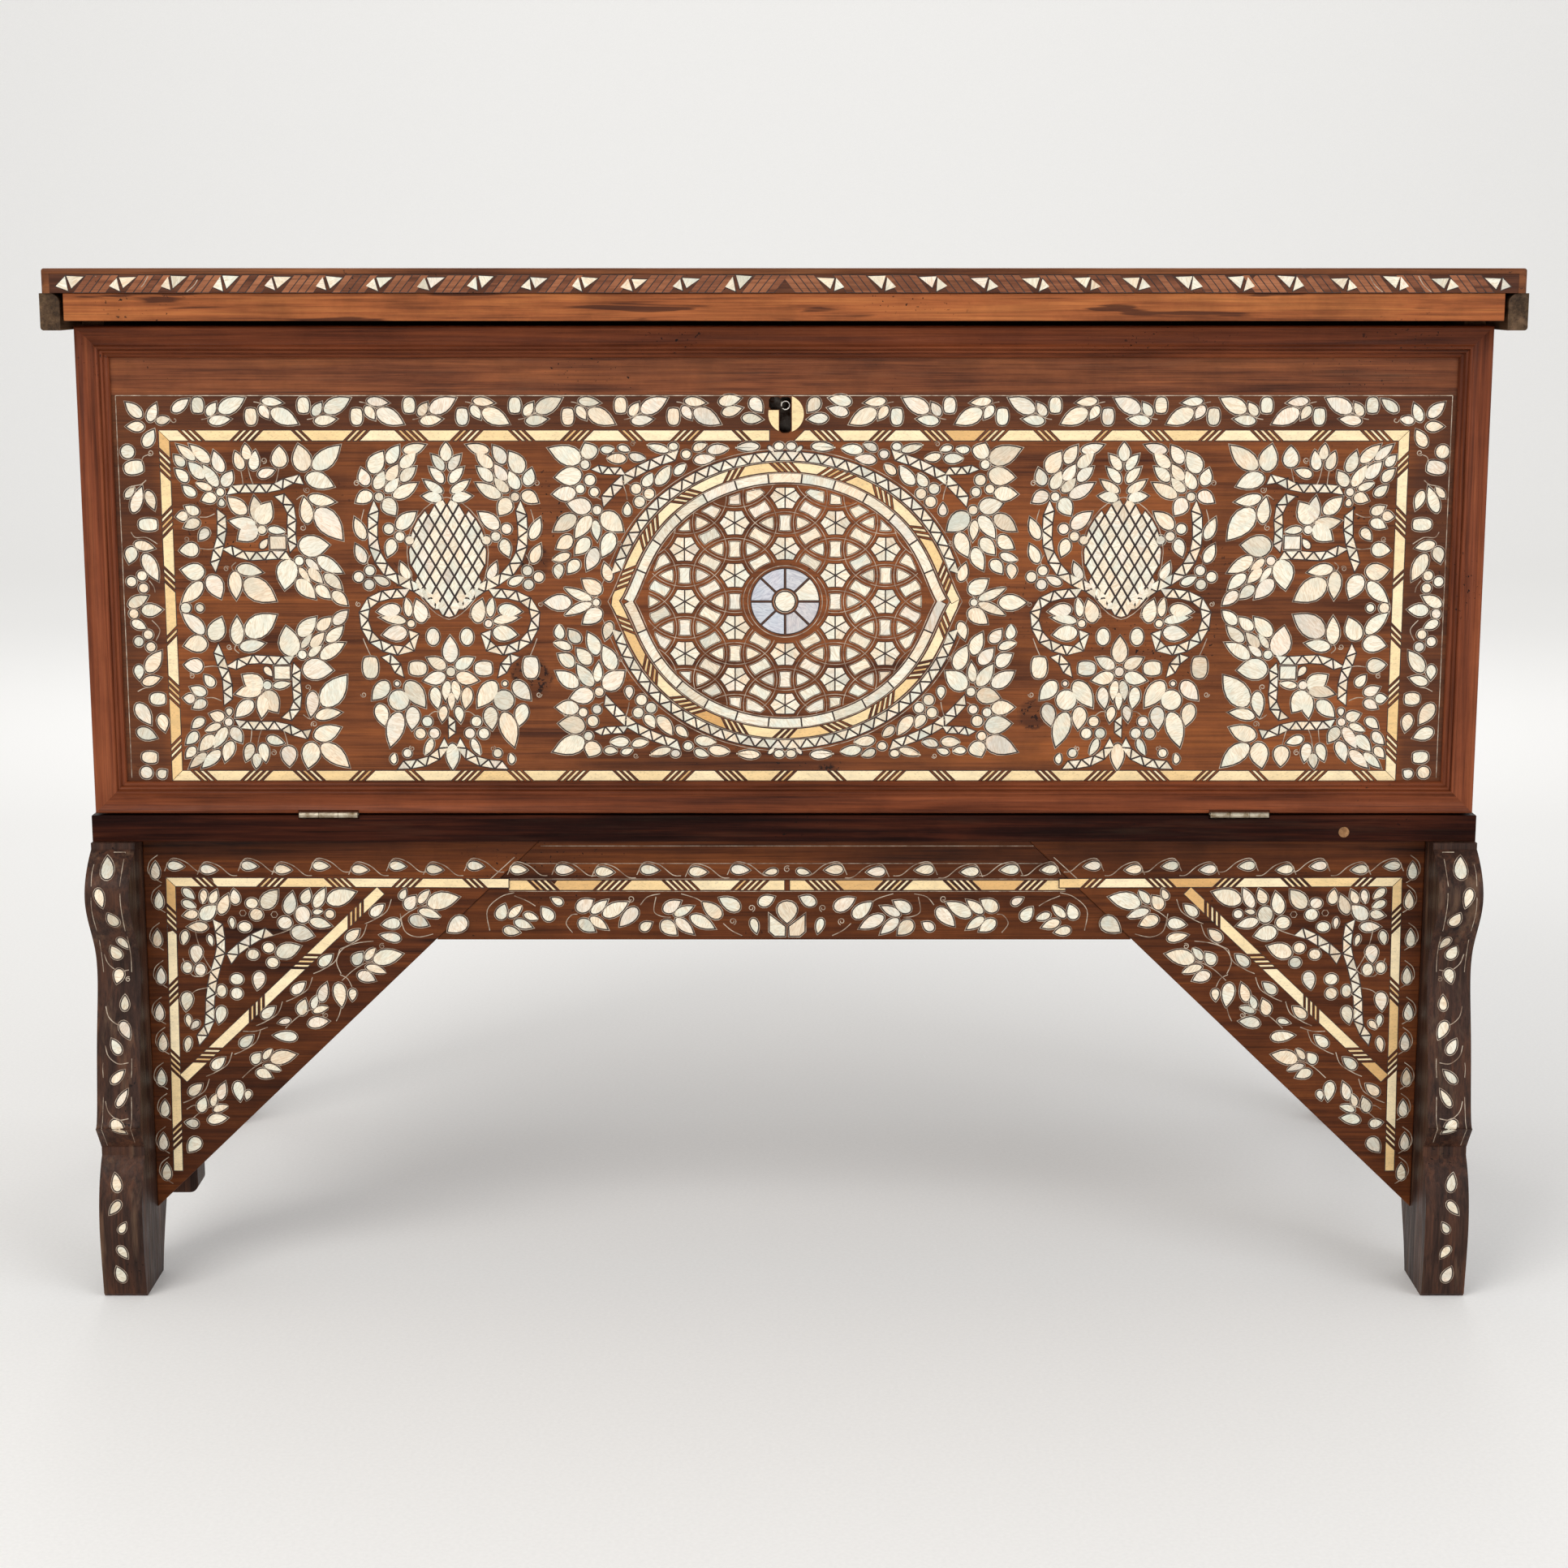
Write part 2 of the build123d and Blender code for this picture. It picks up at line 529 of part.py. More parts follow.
def lock_screws():
    """Four screws near the lock plate's corners."""
    heights = (LOCK_Z[0] + 8, LOCK_Z[1] - 8)
    return [(s * (LOCK_HALF + 7), FRONT + FLAP_BACK, z) for s in (-1, 1) for z in heights]


def hinges():
    """Butt hinges: a pair in the seam below the fall front and a pair behind the lid."""
    flap_spans = hinge_spans(FLAP_HINGE_X, FLAP_HINGE_LEN)
    leaf_depth, web_depth = (3.4, 28.0), (FLAP_PIN[0], 3.4)
    rail_z, flap_z = (RAIL_TOP, RAIL_TOP + FLAP_LEAF_T), (FLAP_BOTTOM - FLAP_LEAF_T, FLAP_BOTTOM)
    hinge_leaves("flap_hinge_rail_leaves", flap_spans, FLAP_PIN, FLAP_HINGE_R, (0, 2),
                 (leaf_depth, rail_z), (web_depth, rail_z), (rail_screws(), DOWN), FLAP_LEAF_T)
    hinge_leaves("flap_hinge_flap_leaves", flap_spans, FLAP_PIN, FLAP_HINGE_R, (1,),
                 (leaf_depth, flap_z), (web_depth, flap_z), (flap_screws(), UP), FLAP_LEAF_T)
    hinge_pins("flap_hinge_pins", flap_spans, FLAP_PIN)

    lid_spans = hinge_spans(LID_HINGE_X, LID_HINGE_LEN)
    leaf_depth, clear = (BACK, BACK + LID_LEAF_T), LID_HINGE_R + KNUCKLE_GAP
    back_z, lid_z = (LID_BOTTOM - 24, LID_BOTTOM - clear), (LID_BOTTOM + clear, LID_TOP - 2)
    hinge_leaves("lid_hinge_back_leaves", lid_spans, LID_PIN, LID_HINGE_R, (0, 2), (leaf_depth, back_z),
                 (leaf_depth, (back_z[1], LID_BOTTOM)), (back_leaf_screws(), FORWARD), LID_LEAF_T)
    hinge_leaves("lid_hinge_lid_leaves", lid_spans, LID_PIN, LID_HINGE_R, (1,), (leaf_depth, lid_z),
                 (leaf_depth, (LID_BOTTOM, lid_z[0])), (lid_leaf_screws(), FORWARD), LID_LEAF_T)
    hinge_pins("lid_hinge_pins", lid_spans, LID_PIN)

    case_screws = [(rail_screws(), DOWN, FLAP_LEAF_T), (back_leaf_screws(), FORWARD, LID_LEAF_T)]
    save_screws("case_hinge_screws", case_screws)
    save_screws("flap_hinge_screws", [(flap_screws(), UP, FLAP_LEAF_T)])
    save_screws("lid_hinge_screws", [(lid_leaf_screws(), FORWARD, LID_LEAF_T)])


# ---- whole chest --------------------------------------------------------------------------
os.makedirs("parts", exist_ok=True)

end_panels()
back_boards()
case_floor()
base_rails()

front_legs()
back_legs()
brackets()
apron_board()
corner_blocks()
plain_aprons()

fall_front_boards()
mouldings()
keyhole_escutcheon()
lock()

lid_board()
lid_rail_and_cleats()
lock_striker()

hinges()
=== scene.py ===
"""Looks for the inlaid chest: pearl, bone and wire inlay, worn walnut, and the photograph's camera."""
import bpy
import math
import random
import numpy as np
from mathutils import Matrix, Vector
from mathutils.bvhtree import BVHTree


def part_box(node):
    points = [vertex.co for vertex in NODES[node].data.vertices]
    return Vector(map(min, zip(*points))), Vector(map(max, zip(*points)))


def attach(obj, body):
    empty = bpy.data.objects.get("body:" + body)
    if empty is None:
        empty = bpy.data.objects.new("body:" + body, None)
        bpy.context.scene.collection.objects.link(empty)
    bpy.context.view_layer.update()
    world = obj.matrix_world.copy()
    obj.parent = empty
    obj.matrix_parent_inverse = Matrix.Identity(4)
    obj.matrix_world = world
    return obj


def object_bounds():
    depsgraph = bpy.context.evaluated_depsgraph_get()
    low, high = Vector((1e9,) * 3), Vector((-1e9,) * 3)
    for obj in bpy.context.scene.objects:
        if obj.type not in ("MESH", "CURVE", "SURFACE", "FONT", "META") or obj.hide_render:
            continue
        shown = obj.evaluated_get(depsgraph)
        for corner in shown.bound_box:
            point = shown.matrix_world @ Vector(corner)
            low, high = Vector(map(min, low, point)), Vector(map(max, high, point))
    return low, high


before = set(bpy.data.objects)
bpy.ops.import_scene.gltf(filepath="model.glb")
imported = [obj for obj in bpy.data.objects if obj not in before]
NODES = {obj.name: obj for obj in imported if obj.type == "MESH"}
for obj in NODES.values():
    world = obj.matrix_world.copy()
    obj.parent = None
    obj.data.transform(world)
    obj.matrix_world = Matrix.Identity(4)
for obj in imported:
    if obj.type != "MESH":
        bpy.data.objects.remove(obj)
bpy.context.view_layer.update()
MM = 0.001
TAU = 2 * math.pi
AS_DRAWN = (1, 0.0, 1, 0.0)  # a mirror is (sign of x, middle of x, sign of z, middle of z)
BURIED = -0.1  # mm: where a rim goes on below the wood's face
WIRE_RIM = [(0.34, False), (0.2, True), (-0.2, True), (-0.34, False)]  # distance, and whether raised
GROW_STEP, GROW_ROUNDS, GROW_GAP = 0.06, 8, 1.5
NUDGE, NUDGE_LIMIT, TOUCHING = 0.6, 2.4, 0.2


# ---------------------------------------------------------------- flat outlines, in mm
def area(points):
    """Signed area of a closed outline."""
    x, z = points[:, 0], points[:, 1]
    return 0.5 * float(np.sum(x * np.roll(z, -1) - np.roll(x, -1) * z))


def ccw(points):
    """The outline as an array, running counter-clockwise."""
    points = np.asarray(points, float)
    return points if area(points) > 0 else points[::-1].copy()


def offset(points, distance):
    """The closed outline moved outward by that distance."""
    before = points - np.roll(points, 1, axis=0)
    after = np.roll(points, -1, axis=0) - points
    before /= np.maximum(np.linalg.norm(before, axis=1, keepdims=True), 1e-9)
    after /= np.maximum(np.linalg.norm(after, axis=1, keepdims=True), 1e-9)
    n1 = np.stack([before[:, 1], -before[:, 0]], 1)
    n2 = np.stack([after[:, 1], -after[:, 0]], 1)
    share = np.maximum(1 + np.sum(n1 * n2, axis=1, keepdims=True), 0.35)
    return points + distance * (n1 + n2) / share


def profile(base, tip, width, peak, blunt_base, blunt_tip, bend=0.0, count=7):
    """An outline from base to tip, widest at peak, with blunt (0.5) or sharp (1) ends."""
    base, tip = np.array(base, float), np.array(tip, float)
    along = tip - base
    across = np.array([-along[1], along[0]])
    across /= np.linalg.norm(across)
    steps = (1 - np.cos(np.linspace(0, math.pi, count + 2))) / 2
    right, left = [], []
    for t in steps:
        if t < peak:
            half = max(0.0, 1 - (1 - t / peak) ** 2) ** blunt_base
        else:
            half = max(0.0, 1 - ((t - peak) / (1 - peak)) ** 2) ** blunt_tip
        middle = base + along * t + across * bend * math.sin(math.pi * t)
        right.append(middle - across * half * width / 2)
        left.append(middle + across * half * width / 2)
    return ccw(right + left[-2:0:-1])


def leaf(base, tip, width, bend=0.0):
    return profile(base, tip, width, 0.4, 0.56, 1.1, bend)


def drop(base, tip, width, bend=0.0):
    """Round at the base and pointed at the tip."""
    return profile(base, tip, width, 0.36, 0.5, 0.95, bend)


def bud(base, tip, width, bend=0.0):
    """A barrel: rounded at its base, flatter at its tip."""
    return profile(base, tip, width, 0.5, 0.34, 0.2, bend)


def disc(x, z, radius, tall=None):
    turn = np.linspace(0, TAU, 14, endpoint=False)
    return np.stack([x + radius * np.cos(turn), z + (tall or radius) * np.sin(turn)], 1)


def smooth(points, each=5):
    """A smooth open line through the points."""
    points = np.asarray(points, float)
    last = len(points) - 1
    result = []
    for i in range(last):
        p = [points[min(max(i + k, 0), last)] for k in (-1, 0, 1, 2)]
        for t in np.arange(each) / each:
            square, cube = 2 * p[0] - 5 * p[1] + 4 * p[2] - p[3], 3 * p[1] - p[0] - 3 * p[2] + p[3]
            result.append(0.5 * (2 * p[1] + (p[2] - p[0]) * t + square * t * t + cube * t ** 3))
    result.append(points[-1])
    return np.array(result)


class Path:
    """A line measured by its length."""

    def __init__(self, points, closed=False):
        self.points = np.asarray(points, float)
        if closed:
            self.points = np.vstack([self.points, self.points[:1]])
        steps = np.linalg.norm(np.diff(self.points, axis=0), axis=1)
        self.at = np.concatenate([[0], np.cumsum(steps)])
        self.length = float(self.at[-1])
        self.closed = closed

    def place(self, s, side=0.0):
        """The point at length s, moved to the left of the path by side."""
        if self.closed:
            s = s % self.length
        inside = min(max(s, 0.0), self.length)
        i = min(int(np.searchsorted(self.at, inside, side="right")) - 1, len(self.points) - 2)
        run = self.points[i + 1] - self.points[i]
        run = run / max(np.linalg.norm(run), 1e-9)
        point = self.points[i] + run * (s - self.at[i])
        return point + side * np.array([-run[1], run[0]])


def clip(outline, window):
    """The part of a convex outline that lies inside a convex window."""
    result = list(outline)
    for i in range(len(window)):
        a, b = window[i], window[(i + 1) % len(window)]
        source, result = result, []
        inside = [(b[0] - a[0]) * (p[1] - a[1]) - (b[1] - a[1]) * (p[0] - a[0]) for p in source]
        for k, point in enumerate(source):
            other, here, there = source[k - 1], inside[k], inside[k - 1]
            if (here > 0) != (there > 0):
                result.append(other + (point - other) * there / (there - here))
            if here > 0:
                result.append(point)
        if len(result) < 3:
            return None
    return np.array(result)


def dense(points, step=1.3):
    """Points close together all along a closed outline."""
    result = []
    for a, b in zip(points, np.roll(points, -1, axis=0)):
        count = max(1, int(np.linalg.norm(b - a) / step))
        result.append(a + (b - a) * (np.arange(count) / count)[:, None])
    return np.vstack(result)


def swell(points, across):
    """The outline made wider across its longest direction, and a little longer."""
    middle = points.mean(axis=0)
    spread = points - middle
    values, axes = np.linalg.eigh(spread.T @ spread)
    along = 1 + (across - 1) * (1.0 if values[1] < 1.3 * values[0] else 0.3)
    return middle + ((spread @ axes) * np.array([across, along])) @ axes.T


# ---------------------------------------------------------------- inlaid panels
class Inlay:
    """Collects the inlay of one front and makes it as one mesh for each material."""

    def __init__(self, name, node, body, slot, seed, curved=False):
        self.name, self.body, self.slot_name = name, body, slot
        self.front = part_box(node)[0].y
        self.random = random.Random(seed)
        self.meshes, self.waiting, self.walls = {}, [], []
        self.mirrors = [AS_DRAWN]
        data = NODES[node].data
        self.board = BVHTree.FromPolygons([v.co for v in data.vertices], [p.vertices for p in data.polygons])
        self.curved = curved

    def hit(self, x, z):
        """Where a line from in front of the board meets it, or None."""
        return self.board.ray_cast(Vector((x * MM, self.front - 0.1, z * MM)), Vector((0, 1, 0)))[0]

    def surface(self, x, z):
        """The wood's face behind a point of the drawing, in metres."""
        place = self.hit(x, z) if self.curved else None
        return self.front if place is None else place.y

    def draws(self):
        """The three random numbers that tint one piece, as a colour."""
        return (self.random.random(), self.random.random(), self.random.random(), 1.0)

    def rings(self, kind, rings, tone, cap=True, closed=True):
        """Adds rings of (points, height) joined by faces; the last ring is capped."""
        verts, faces, tones = self.meshes.setdefault(kind, ([], [], []))
        count = len(rings[0][0])
        start = len(verts)
        for points, height in rings:
            heights = height if hasattr(height, "__len__") else [height] * count
            for (x, z), h in zip(points, heights):
                verts.append((x * MM, self.surface(x, z) - h * MM, z * MM))
                tones.append(tone)
        last = count if closed else count - 1
        for r in range(len(rings) - 1):
            for i in range(last):
                a, b = start + r * count + i, start + r * count + (i + 1) % count
                faces.append((a, b, b + count, a + count))
        if cap:
            top = start + (len(rings) - 1) * count
            faces.append(tuple(range(top, top + count)))

    def copies(self, points):
        """The outline mirrored into each place that it repeats in."""
        for sx, cx, sz, cz in self.mirrors:
            yield points * np.array([sx, sz]) + np.array([cx, cz])

    def piece(self, points, kind="pearl", top=0.35, wire=True, mastic=1.1, grows=1.0):
        """Notes an inlaid piece; a leaf may grow by up to that much before it is made."""
        for shape in self.copies(np.asarray(points, float)):
            shape = offset(ccw(shape), -0.45 if wire else 0.0)
            self.waiting.append((shape, kind, top, wire, mastic, grows))

    def leaves(self, rows, grows=1.0, bend=0.0, shape=leaf):
        """Leaves, or other shapes, from rows of base x and z, tip x and z, and width."""
        for x0, z0, x1, z1, width in rows:
            lean = self.random.uniform(-bend, bend) if bend else 0.0
            self.piece(shape((x0, z0), (x1, z1), width, lean), grows=grows)

    def discs(self, rows):
        """Discs from rows of x, z and radius, and another radius upward if they are oval."""
        for row in rows:
            self.piece(disc(*row))

    def on_board(self, points):
        """Whether an outline stays on the flat face of its board."""
        for x, z in offset(points, 2.2)[::2]:
            place = self.hit(x, z)
            if place is None or (not self.curved and place.y > self.front + 0.4 * MM):
                return False
        return True

    def grown(self, start, size, shift, others):
        """The outline at that size, moved aside if it can be; its edge, shift and whether it is clear."""
        for _ in range(3):
            trial = swell(start, size) + shift
            edge = dense(trial)
            between = edge[:, None, :] - others[None, :, :]
            apart = np.sqrt(np.sum(between * between, axis=2))
            a, b = np.unravel_index(np.argmin(apart), apart.shape)
            clear = float(apart[a, b]) > GROW_GAP
            if clear or apart[a, b] < TOUCHING:
                break
            nudged = shift + between[a, b] / apart[a, b] * NUDGE
            if np.linalg.norm(nudged) > NUDGE_LIMIT:
                break
            shift = nudged
        return trial, edge, shift, clear

    def fill_space(self):
        """Lets each leaf grow, and move a little, until it nearly touches its neighbours."""
        shapes = [row[0] for row in self.waiting] + self.walls
        edges = [dense(shape) for shape in shapes]
        middles = np.array([edge.mean(axis=0) for edge in edges])
        reach = np.array([np.linalg.norm(e - m, axis=1).max() for e, m in zip(edges, middles)])
        size = {i: 1.0 for i, row in enumerate(self.waiting) if row[5] > 1}
        moved = {i: np.zeros(2) for i in size}
        stopped = set()
        for _ in range(GROW_ROUNDS):
            for i in size:
                larger = size[i] + GROW_STEP
                if i in stopped or larger > self.waiting[i][5]:
                    continue
                away = np.linalg.norm(middles - middles[i], axis=1)
                near = [j for j in np.nonzero(away < reach + reach[i] + 5)[0] if j != i]
                others = np.vstack([edges[j] for j in near] or [np.full((1, 2), 1e6)])
                trial, edge, moved[i], clear = self.grown(self.waiting[i][0], larger, moved[i], others)
                if clear and self.on_board(trial):
                    size[i] = larger
                    edges[i], shapes[i] = edge, trial
                    middles[i] = edge.mean(axis=0)
                    reach[i] *= 1 + GROW_STEP
                else:
                    stopped.add(i)
        for shape, row in zip(shapes, self.waiting):
            self.lay(shape, *row[1:5])

    def lay(self, shape, kind, top, wire, mastic):
        """Makes a slab with a bevelled rim, a dark line of mastic round it and a wire."""
        tone = self.draws()
        lean = [self.random.uniform(-0.012, 0.012) for _ in range(2)]
        tall = top + self.random.uniform(-0.05, 0.05)
        middle = shape.mean(axis=0)
        bevel = min(0.3, math.sqrt(abs(area(shape))) * 0.06)
        inner = offset(shape, -bevel)
        slope = (inner - middle) @ np.array(lean)
        layers = [(shape, -0.3), (shape, tall - bevel * 0.8), (inner, tall + slope)]
        if self.curved:
            layers += [(middle + (inner - middle) * share, tall) for share in (0.72, 0.44, 0.18)]
        self.rings(kind, layers, tone)
        if mastic:
            rise = 0.06 + self.random.uniform(0, 0.03)
            self.rings("mastic", [(offset(shape, mastic + 0.12), BURIED), (offset(shape, mastic), rise),
                                  (offset(shape, -0.1), rise)], tone, cap=False)
        if wire:
            self.outline_wire(offset(shape, mastic + 0.3), tone)

    def outline_wire(self, points, tone):
        rise = 0.17 + self.random.uniform(0, 0.04)
        layers = [(offset(points, away), rise if raised else BURIED) for away, raised in WIRE_RIM]
        self.rings("wire", layers, tone, cap=False)

    def hexagon(self, x, z, radius):
        """A small six-sided ring of wire."""
        turn = np.linspace(0, TAU, 6, endpoint=False)
        for shape in self.copies(np.stack([x + radius * np.cos(turn), z + radius * np.sin(turn)], 1)):
            self.outline_wire(ccw(shape), (0.5, 0.5, 0.5, 1.0))

    def wire(self, points, width=1.0, curve=True):
        """A fine wire let into the wood along a line."""
        line = smooth(points) if curve else np.asarray(points, float)
        for run in self.copies(line):
            tone = self.draws()
            step = np.gradient(run, axis=0)
            step /= np.maximum(np.linalg.norm(step, axis=1, keepdims=True), 1e-9)
            side = np.stack([-step[:, 1], step[:, 0]], 1)
            rise = 0.15 + self.random.uniform(0, 0.04)
            shares = [(0.5, BURIED), (0.32, rise), (-0.32, rise), (-0.5, BURIED)]
            flip = np.sign(np.cross(step[0], side[0]))
            layers = [(run + side * width * share * -flip, height) for share, height in shares]
            self.rings("wire", layers, tone, cap=False, closed=False)

    def wires(self, rows):
        """Curved wires from rows of x and z in turn."""
        for row in rows:
            self.wire(np.reshape(row, (-1, 2)))

    def spiral(self, x, z, radius, start=0.0, turns=1.3, turn=1):
        t = np.linspace(0, 1, 14)
        angle = start + turn * t * turns * TAU
        reach = radius * (1 - 0.72 * t)
        self.wire(np.stack([x + reach * np.cos(angle), z + reach * np.sin(angle)], 1), curve=False)

    def spirals(self, rows):
        for row in rows:
            self.spiral(*row)

    def zigzag(self, points, width):
        """A stem of small triangles, point up and point down in turn."""
        path = Path(smooth(np.reshape(points, (-1, 2))))
        width = width * 1.08
        pitch = width * 0.74
        count = max(2, round(path.length / pitch) - 1)
        pitch = path.length / (count + 1)
        for k in range(count):
            s = pitch * (k + 1)
            side = width / 2 * (1 if k % 2 else -1)
            shape = ccw([path.place(s - pitch, side), path.place(s + pitch, side), path.place(s, -side)])
            self.piece(offset(shape, -0.75), wire=False, mastic=0.95, top=0.3)

    def strip(self, path, s0, s1, width, slant0=0.0, slant1=0.0, kind="bone", curved=False):
        """One bone of a band, cut at a slant at each end."""
        half = width / 2
        count = 5 if curved else 2
        low = np.linspace(s0 - slant0 * half, s1 - slant1 * half, count)
        high = np.linspace(s1 + slant1 * half, s0 + slant0 * half, count)
        shape = [path.place(s, -half) for s in low] + [path.place(s, half) for s in high]
        self.piece(offset(ccw(shape), -0.2), kind, wire=False, mastic=0.75, top=0.3)

    def band(self, path, width, spacing, groups, mitre=(0, 0), curved=False, sliver=2.8, gap=3.3):
        """Long bones and groups of thin slanted ones in turn, along a path."""
        count = max(1, round(path.length / spacing))
        start, lean = 0.0, mitre[0]
        for k in range(count):
            many = groups[k % len(groups)]
            slant = 1 if k % 2 else -1
            length = many * (sliver + gap) + gap
            middle = path.length * (k + 0.5) / count
            begin = middle - length / 2
            self.strip(path, start, begin, width, lean, slant, curved=curved)
            for j in range(many):
                s = begin + gap + j * (sliver + gap)
                self.strip(path, s, s + sliver, width, slant, slant, curved=curved)
            start, lean = middle + length / 2, slant
        self.strip(path, start, path.length, width, lean, mitre[1], curved=curved)

    def finish(self):
        """Makes one mesh for each material and lets it ride on its body."""
        self.fill_space()
        for kind, (verts, faces, tones) in self.meshes.items():
            name = self.name + "_" + kind
            data = bpy.data.meshes.new(name)
            data.from_pydata(verts, [], faces)
            data.validate()
            mark = data.attributes.new("tone", "FLOAT_COLOR", "POINT")
            mark.data.foreach_set("color", np.array(tones, np.float32).ravel())
            data.materials.append(MATERIALS[kind])
            piece = bpy.data.objects.new(name, data)
            bpy.context.scene.collection.objects.link(piece)
            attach(piece, self.body)


# ---------------------------------------------------------------- materials
class Nodes:
    """Short calls for building one material's node tree."""

    def __init__(self, name):
        self.material = bpy.data.materials.new(name)
        self.material.use_nodes = True
        self.tree = self.material.node_tree
        self.shader = self.tree.nodes["Principled BSDF"]
        self.place = self.add("ShaderNodeTexCoord").outputs["Object"]
        self.unmoved = self.place

    def set(self, socket, value):
        """Puts a constant on the shader's own socket."""
        self.shader.inputs[socket].default_value = value

    def link(self, socket, value):
        """Gives the shader's socket a colour or value that varies over the surface."""
        self.put(self.shader.inputs[socket], value)

    def shift_by_object(self):
        """Moves the pattern by a random amount for each object, so no two boards match."""
        chance = self.tree.nodes.new("ShaderNodeObjectInfo").outputs["Random"]
        far = self.tree.nodes.new("ShaderNodeVectorMath")
        far.operation = "MULTIPLY_ADD"
        self.put(far.inputs[0], chance)
        far.inputs[1].default_value = (13.7, 7.9, 5.3)
        self.put(far.inputs[2], self.place)
        self.place = far.outputs["Vector"]

    def add(self, kind, **sockets):
        node = self.tree.nodes.new(kind)
        for name, value in sockets.items():
            self.put(node.inputs[name.replace("_", " ")], value)
        return node

    def put(self, socket, value):
        if isinstance(value, bpy.types.NodeSocket):
            self.tree.links.new(value, socket)
        else:
            socket.default_value = value

    def stretched(self, scale):
        """The object's own coordinates, scaled along each axis."""
        return self.add("ShaderNodeMapping", Vector=self.place, Scale=scale).outputs["Vector"]

    def noise(self, scale, vector=None, detail=4.0, rough=0.55, warp=0.0):
        node = self.add("ShaderNodeTexNoise", Vector=vector or self.place, Scale=scale, Detail=detail,
                        Roughness=rough, Distortion=warp)
        return node.outputs["Fac"]

    def ramp(self, value, *stops):
        """Colours or greys at positions from 0 to 1."""
        node = self.add("ShaderNodeValToRGB", Fac=value)
        elements = node.color_ramp.elements
        while len(elements) < len(stops):
            elements.new(0.5)
        for element, (position, colour) in zip(elements, stops):
            element.position = position
            element.color = (colour,) * 3 + (1,) if isinstance(colour, (int, float)) else colour
        return node.outputs["Color"]

    def mix(self, factor, a, b, blend="MIX"):
        node = self.tree.nodes.new("ShaderNodeMix")
        node.data_type = "RGBA"
        node.blend_type = blend
        self.put(node.inputs[0], factor)
        self.put(node.inputs[6], a)
        self.put(node.inputs[7], b)
        return node.outputs[2]

    def math(self, operation, a, b=0.0):
        node = self.tree.nodes.new("ShaderNodeMath")
        node.operation = operation
        self.put(node.inputs[0], a)
        self.put(node.inputs[1], b)
        return node.outputs[0]

    def bump(self, height, depth, strength=1.0):
        node = self.add("ShaderNodeBump", Height=height, Distance=depth, Strength=strength)
        self.put(self.shader.inputs["Normal"], node.outputs["Normal"])

    def tone(self):
        """The three random numbers of each inlaid piece."""
        node = self.add("ShaderNodeAttribute")
        node.attribute_name = "tone"
        return self.add("ShaderNodeSeparateColor", Color=node.outputs["Color"]).outputs


def rgb(red, green, blue):
    """A colour from 0-255 sRGB values."""
    return tuple(((v / 255 + 0.055) / 1.055) ** 2.4 if v > 10 else v / 255 / 12.92
                 for v in (red, green, blue)) + (1.0,)


FRONT_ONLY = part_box("flap_field_board")[0].y + 4 * MM  # the field's damage is drawn in front of this


def front_of(n, axes, factor):
    """The factor, but only on the front face."""
    return n.math("MULTIPLY", factor, n.math("LESS_THAN", axes[1], FRONT_ONLY))


def worm_damage(n, axes, colour, grime, worm):
    """Pitted dark rounds, from rows of x, z and radius in metres."""
    flat = n.add("ShaderNodeCombineXYZ", X=axes[0], Z=axes[2]).outputs[0]
    for x, z, radius in worm:
        far = n.tree.nodes.new("ShaderNodeVectorMath")
        far.operation = "DISTANCE"
        n.put(far.inputs[0], flat)
        far.inputs[1].default_value = (x, 0, z)
        close = n.math("DIVIDE", far.outputs["Value"], radius)
        close = n.ramp(n.math("ADD", close, n.math("MULTIPLY", grime, 0.8)), (0.8, 1.0), (1.25, 0.0))
        close = front_of(n, axes, close)
        pits = n.math("GREATER_THAN", n.noise(190, None, 3, 0.6), 0.57)
        colour = n.mix(n.math("MULTIPLY", close, pits), colour, rgb(24, 12, 8))
        colour = n.mix(n.math("MULTIPLY", close, 0.45), colour, rgb(50, 26, 16))
    return colour


def dark_margin(n, axes, colour, grime, margin):
    """A darker edge: beyond margin[0] from the middle and above margin[1]."""
    side = n.math("MULTIPLY", n.math("SUBTRACT", n.math("ABSOLUTE", axes[0]), margin[0]), 30.0)
    over = n.math("MULTIPLY", n.math("SUBTRACT", axes[2], margin[1]), 60.0)
    outer = n.math("ADD", n.math("MAXIMUM", side, over), n.math("MULTIPLY", grime, 0.8))
    outer = front_of(n, axes, n.ramp(outer, (0.3, 0.0), (0.75, 0.52)))
    return n.mix(outer, colour, rgb(50, 30, 23))


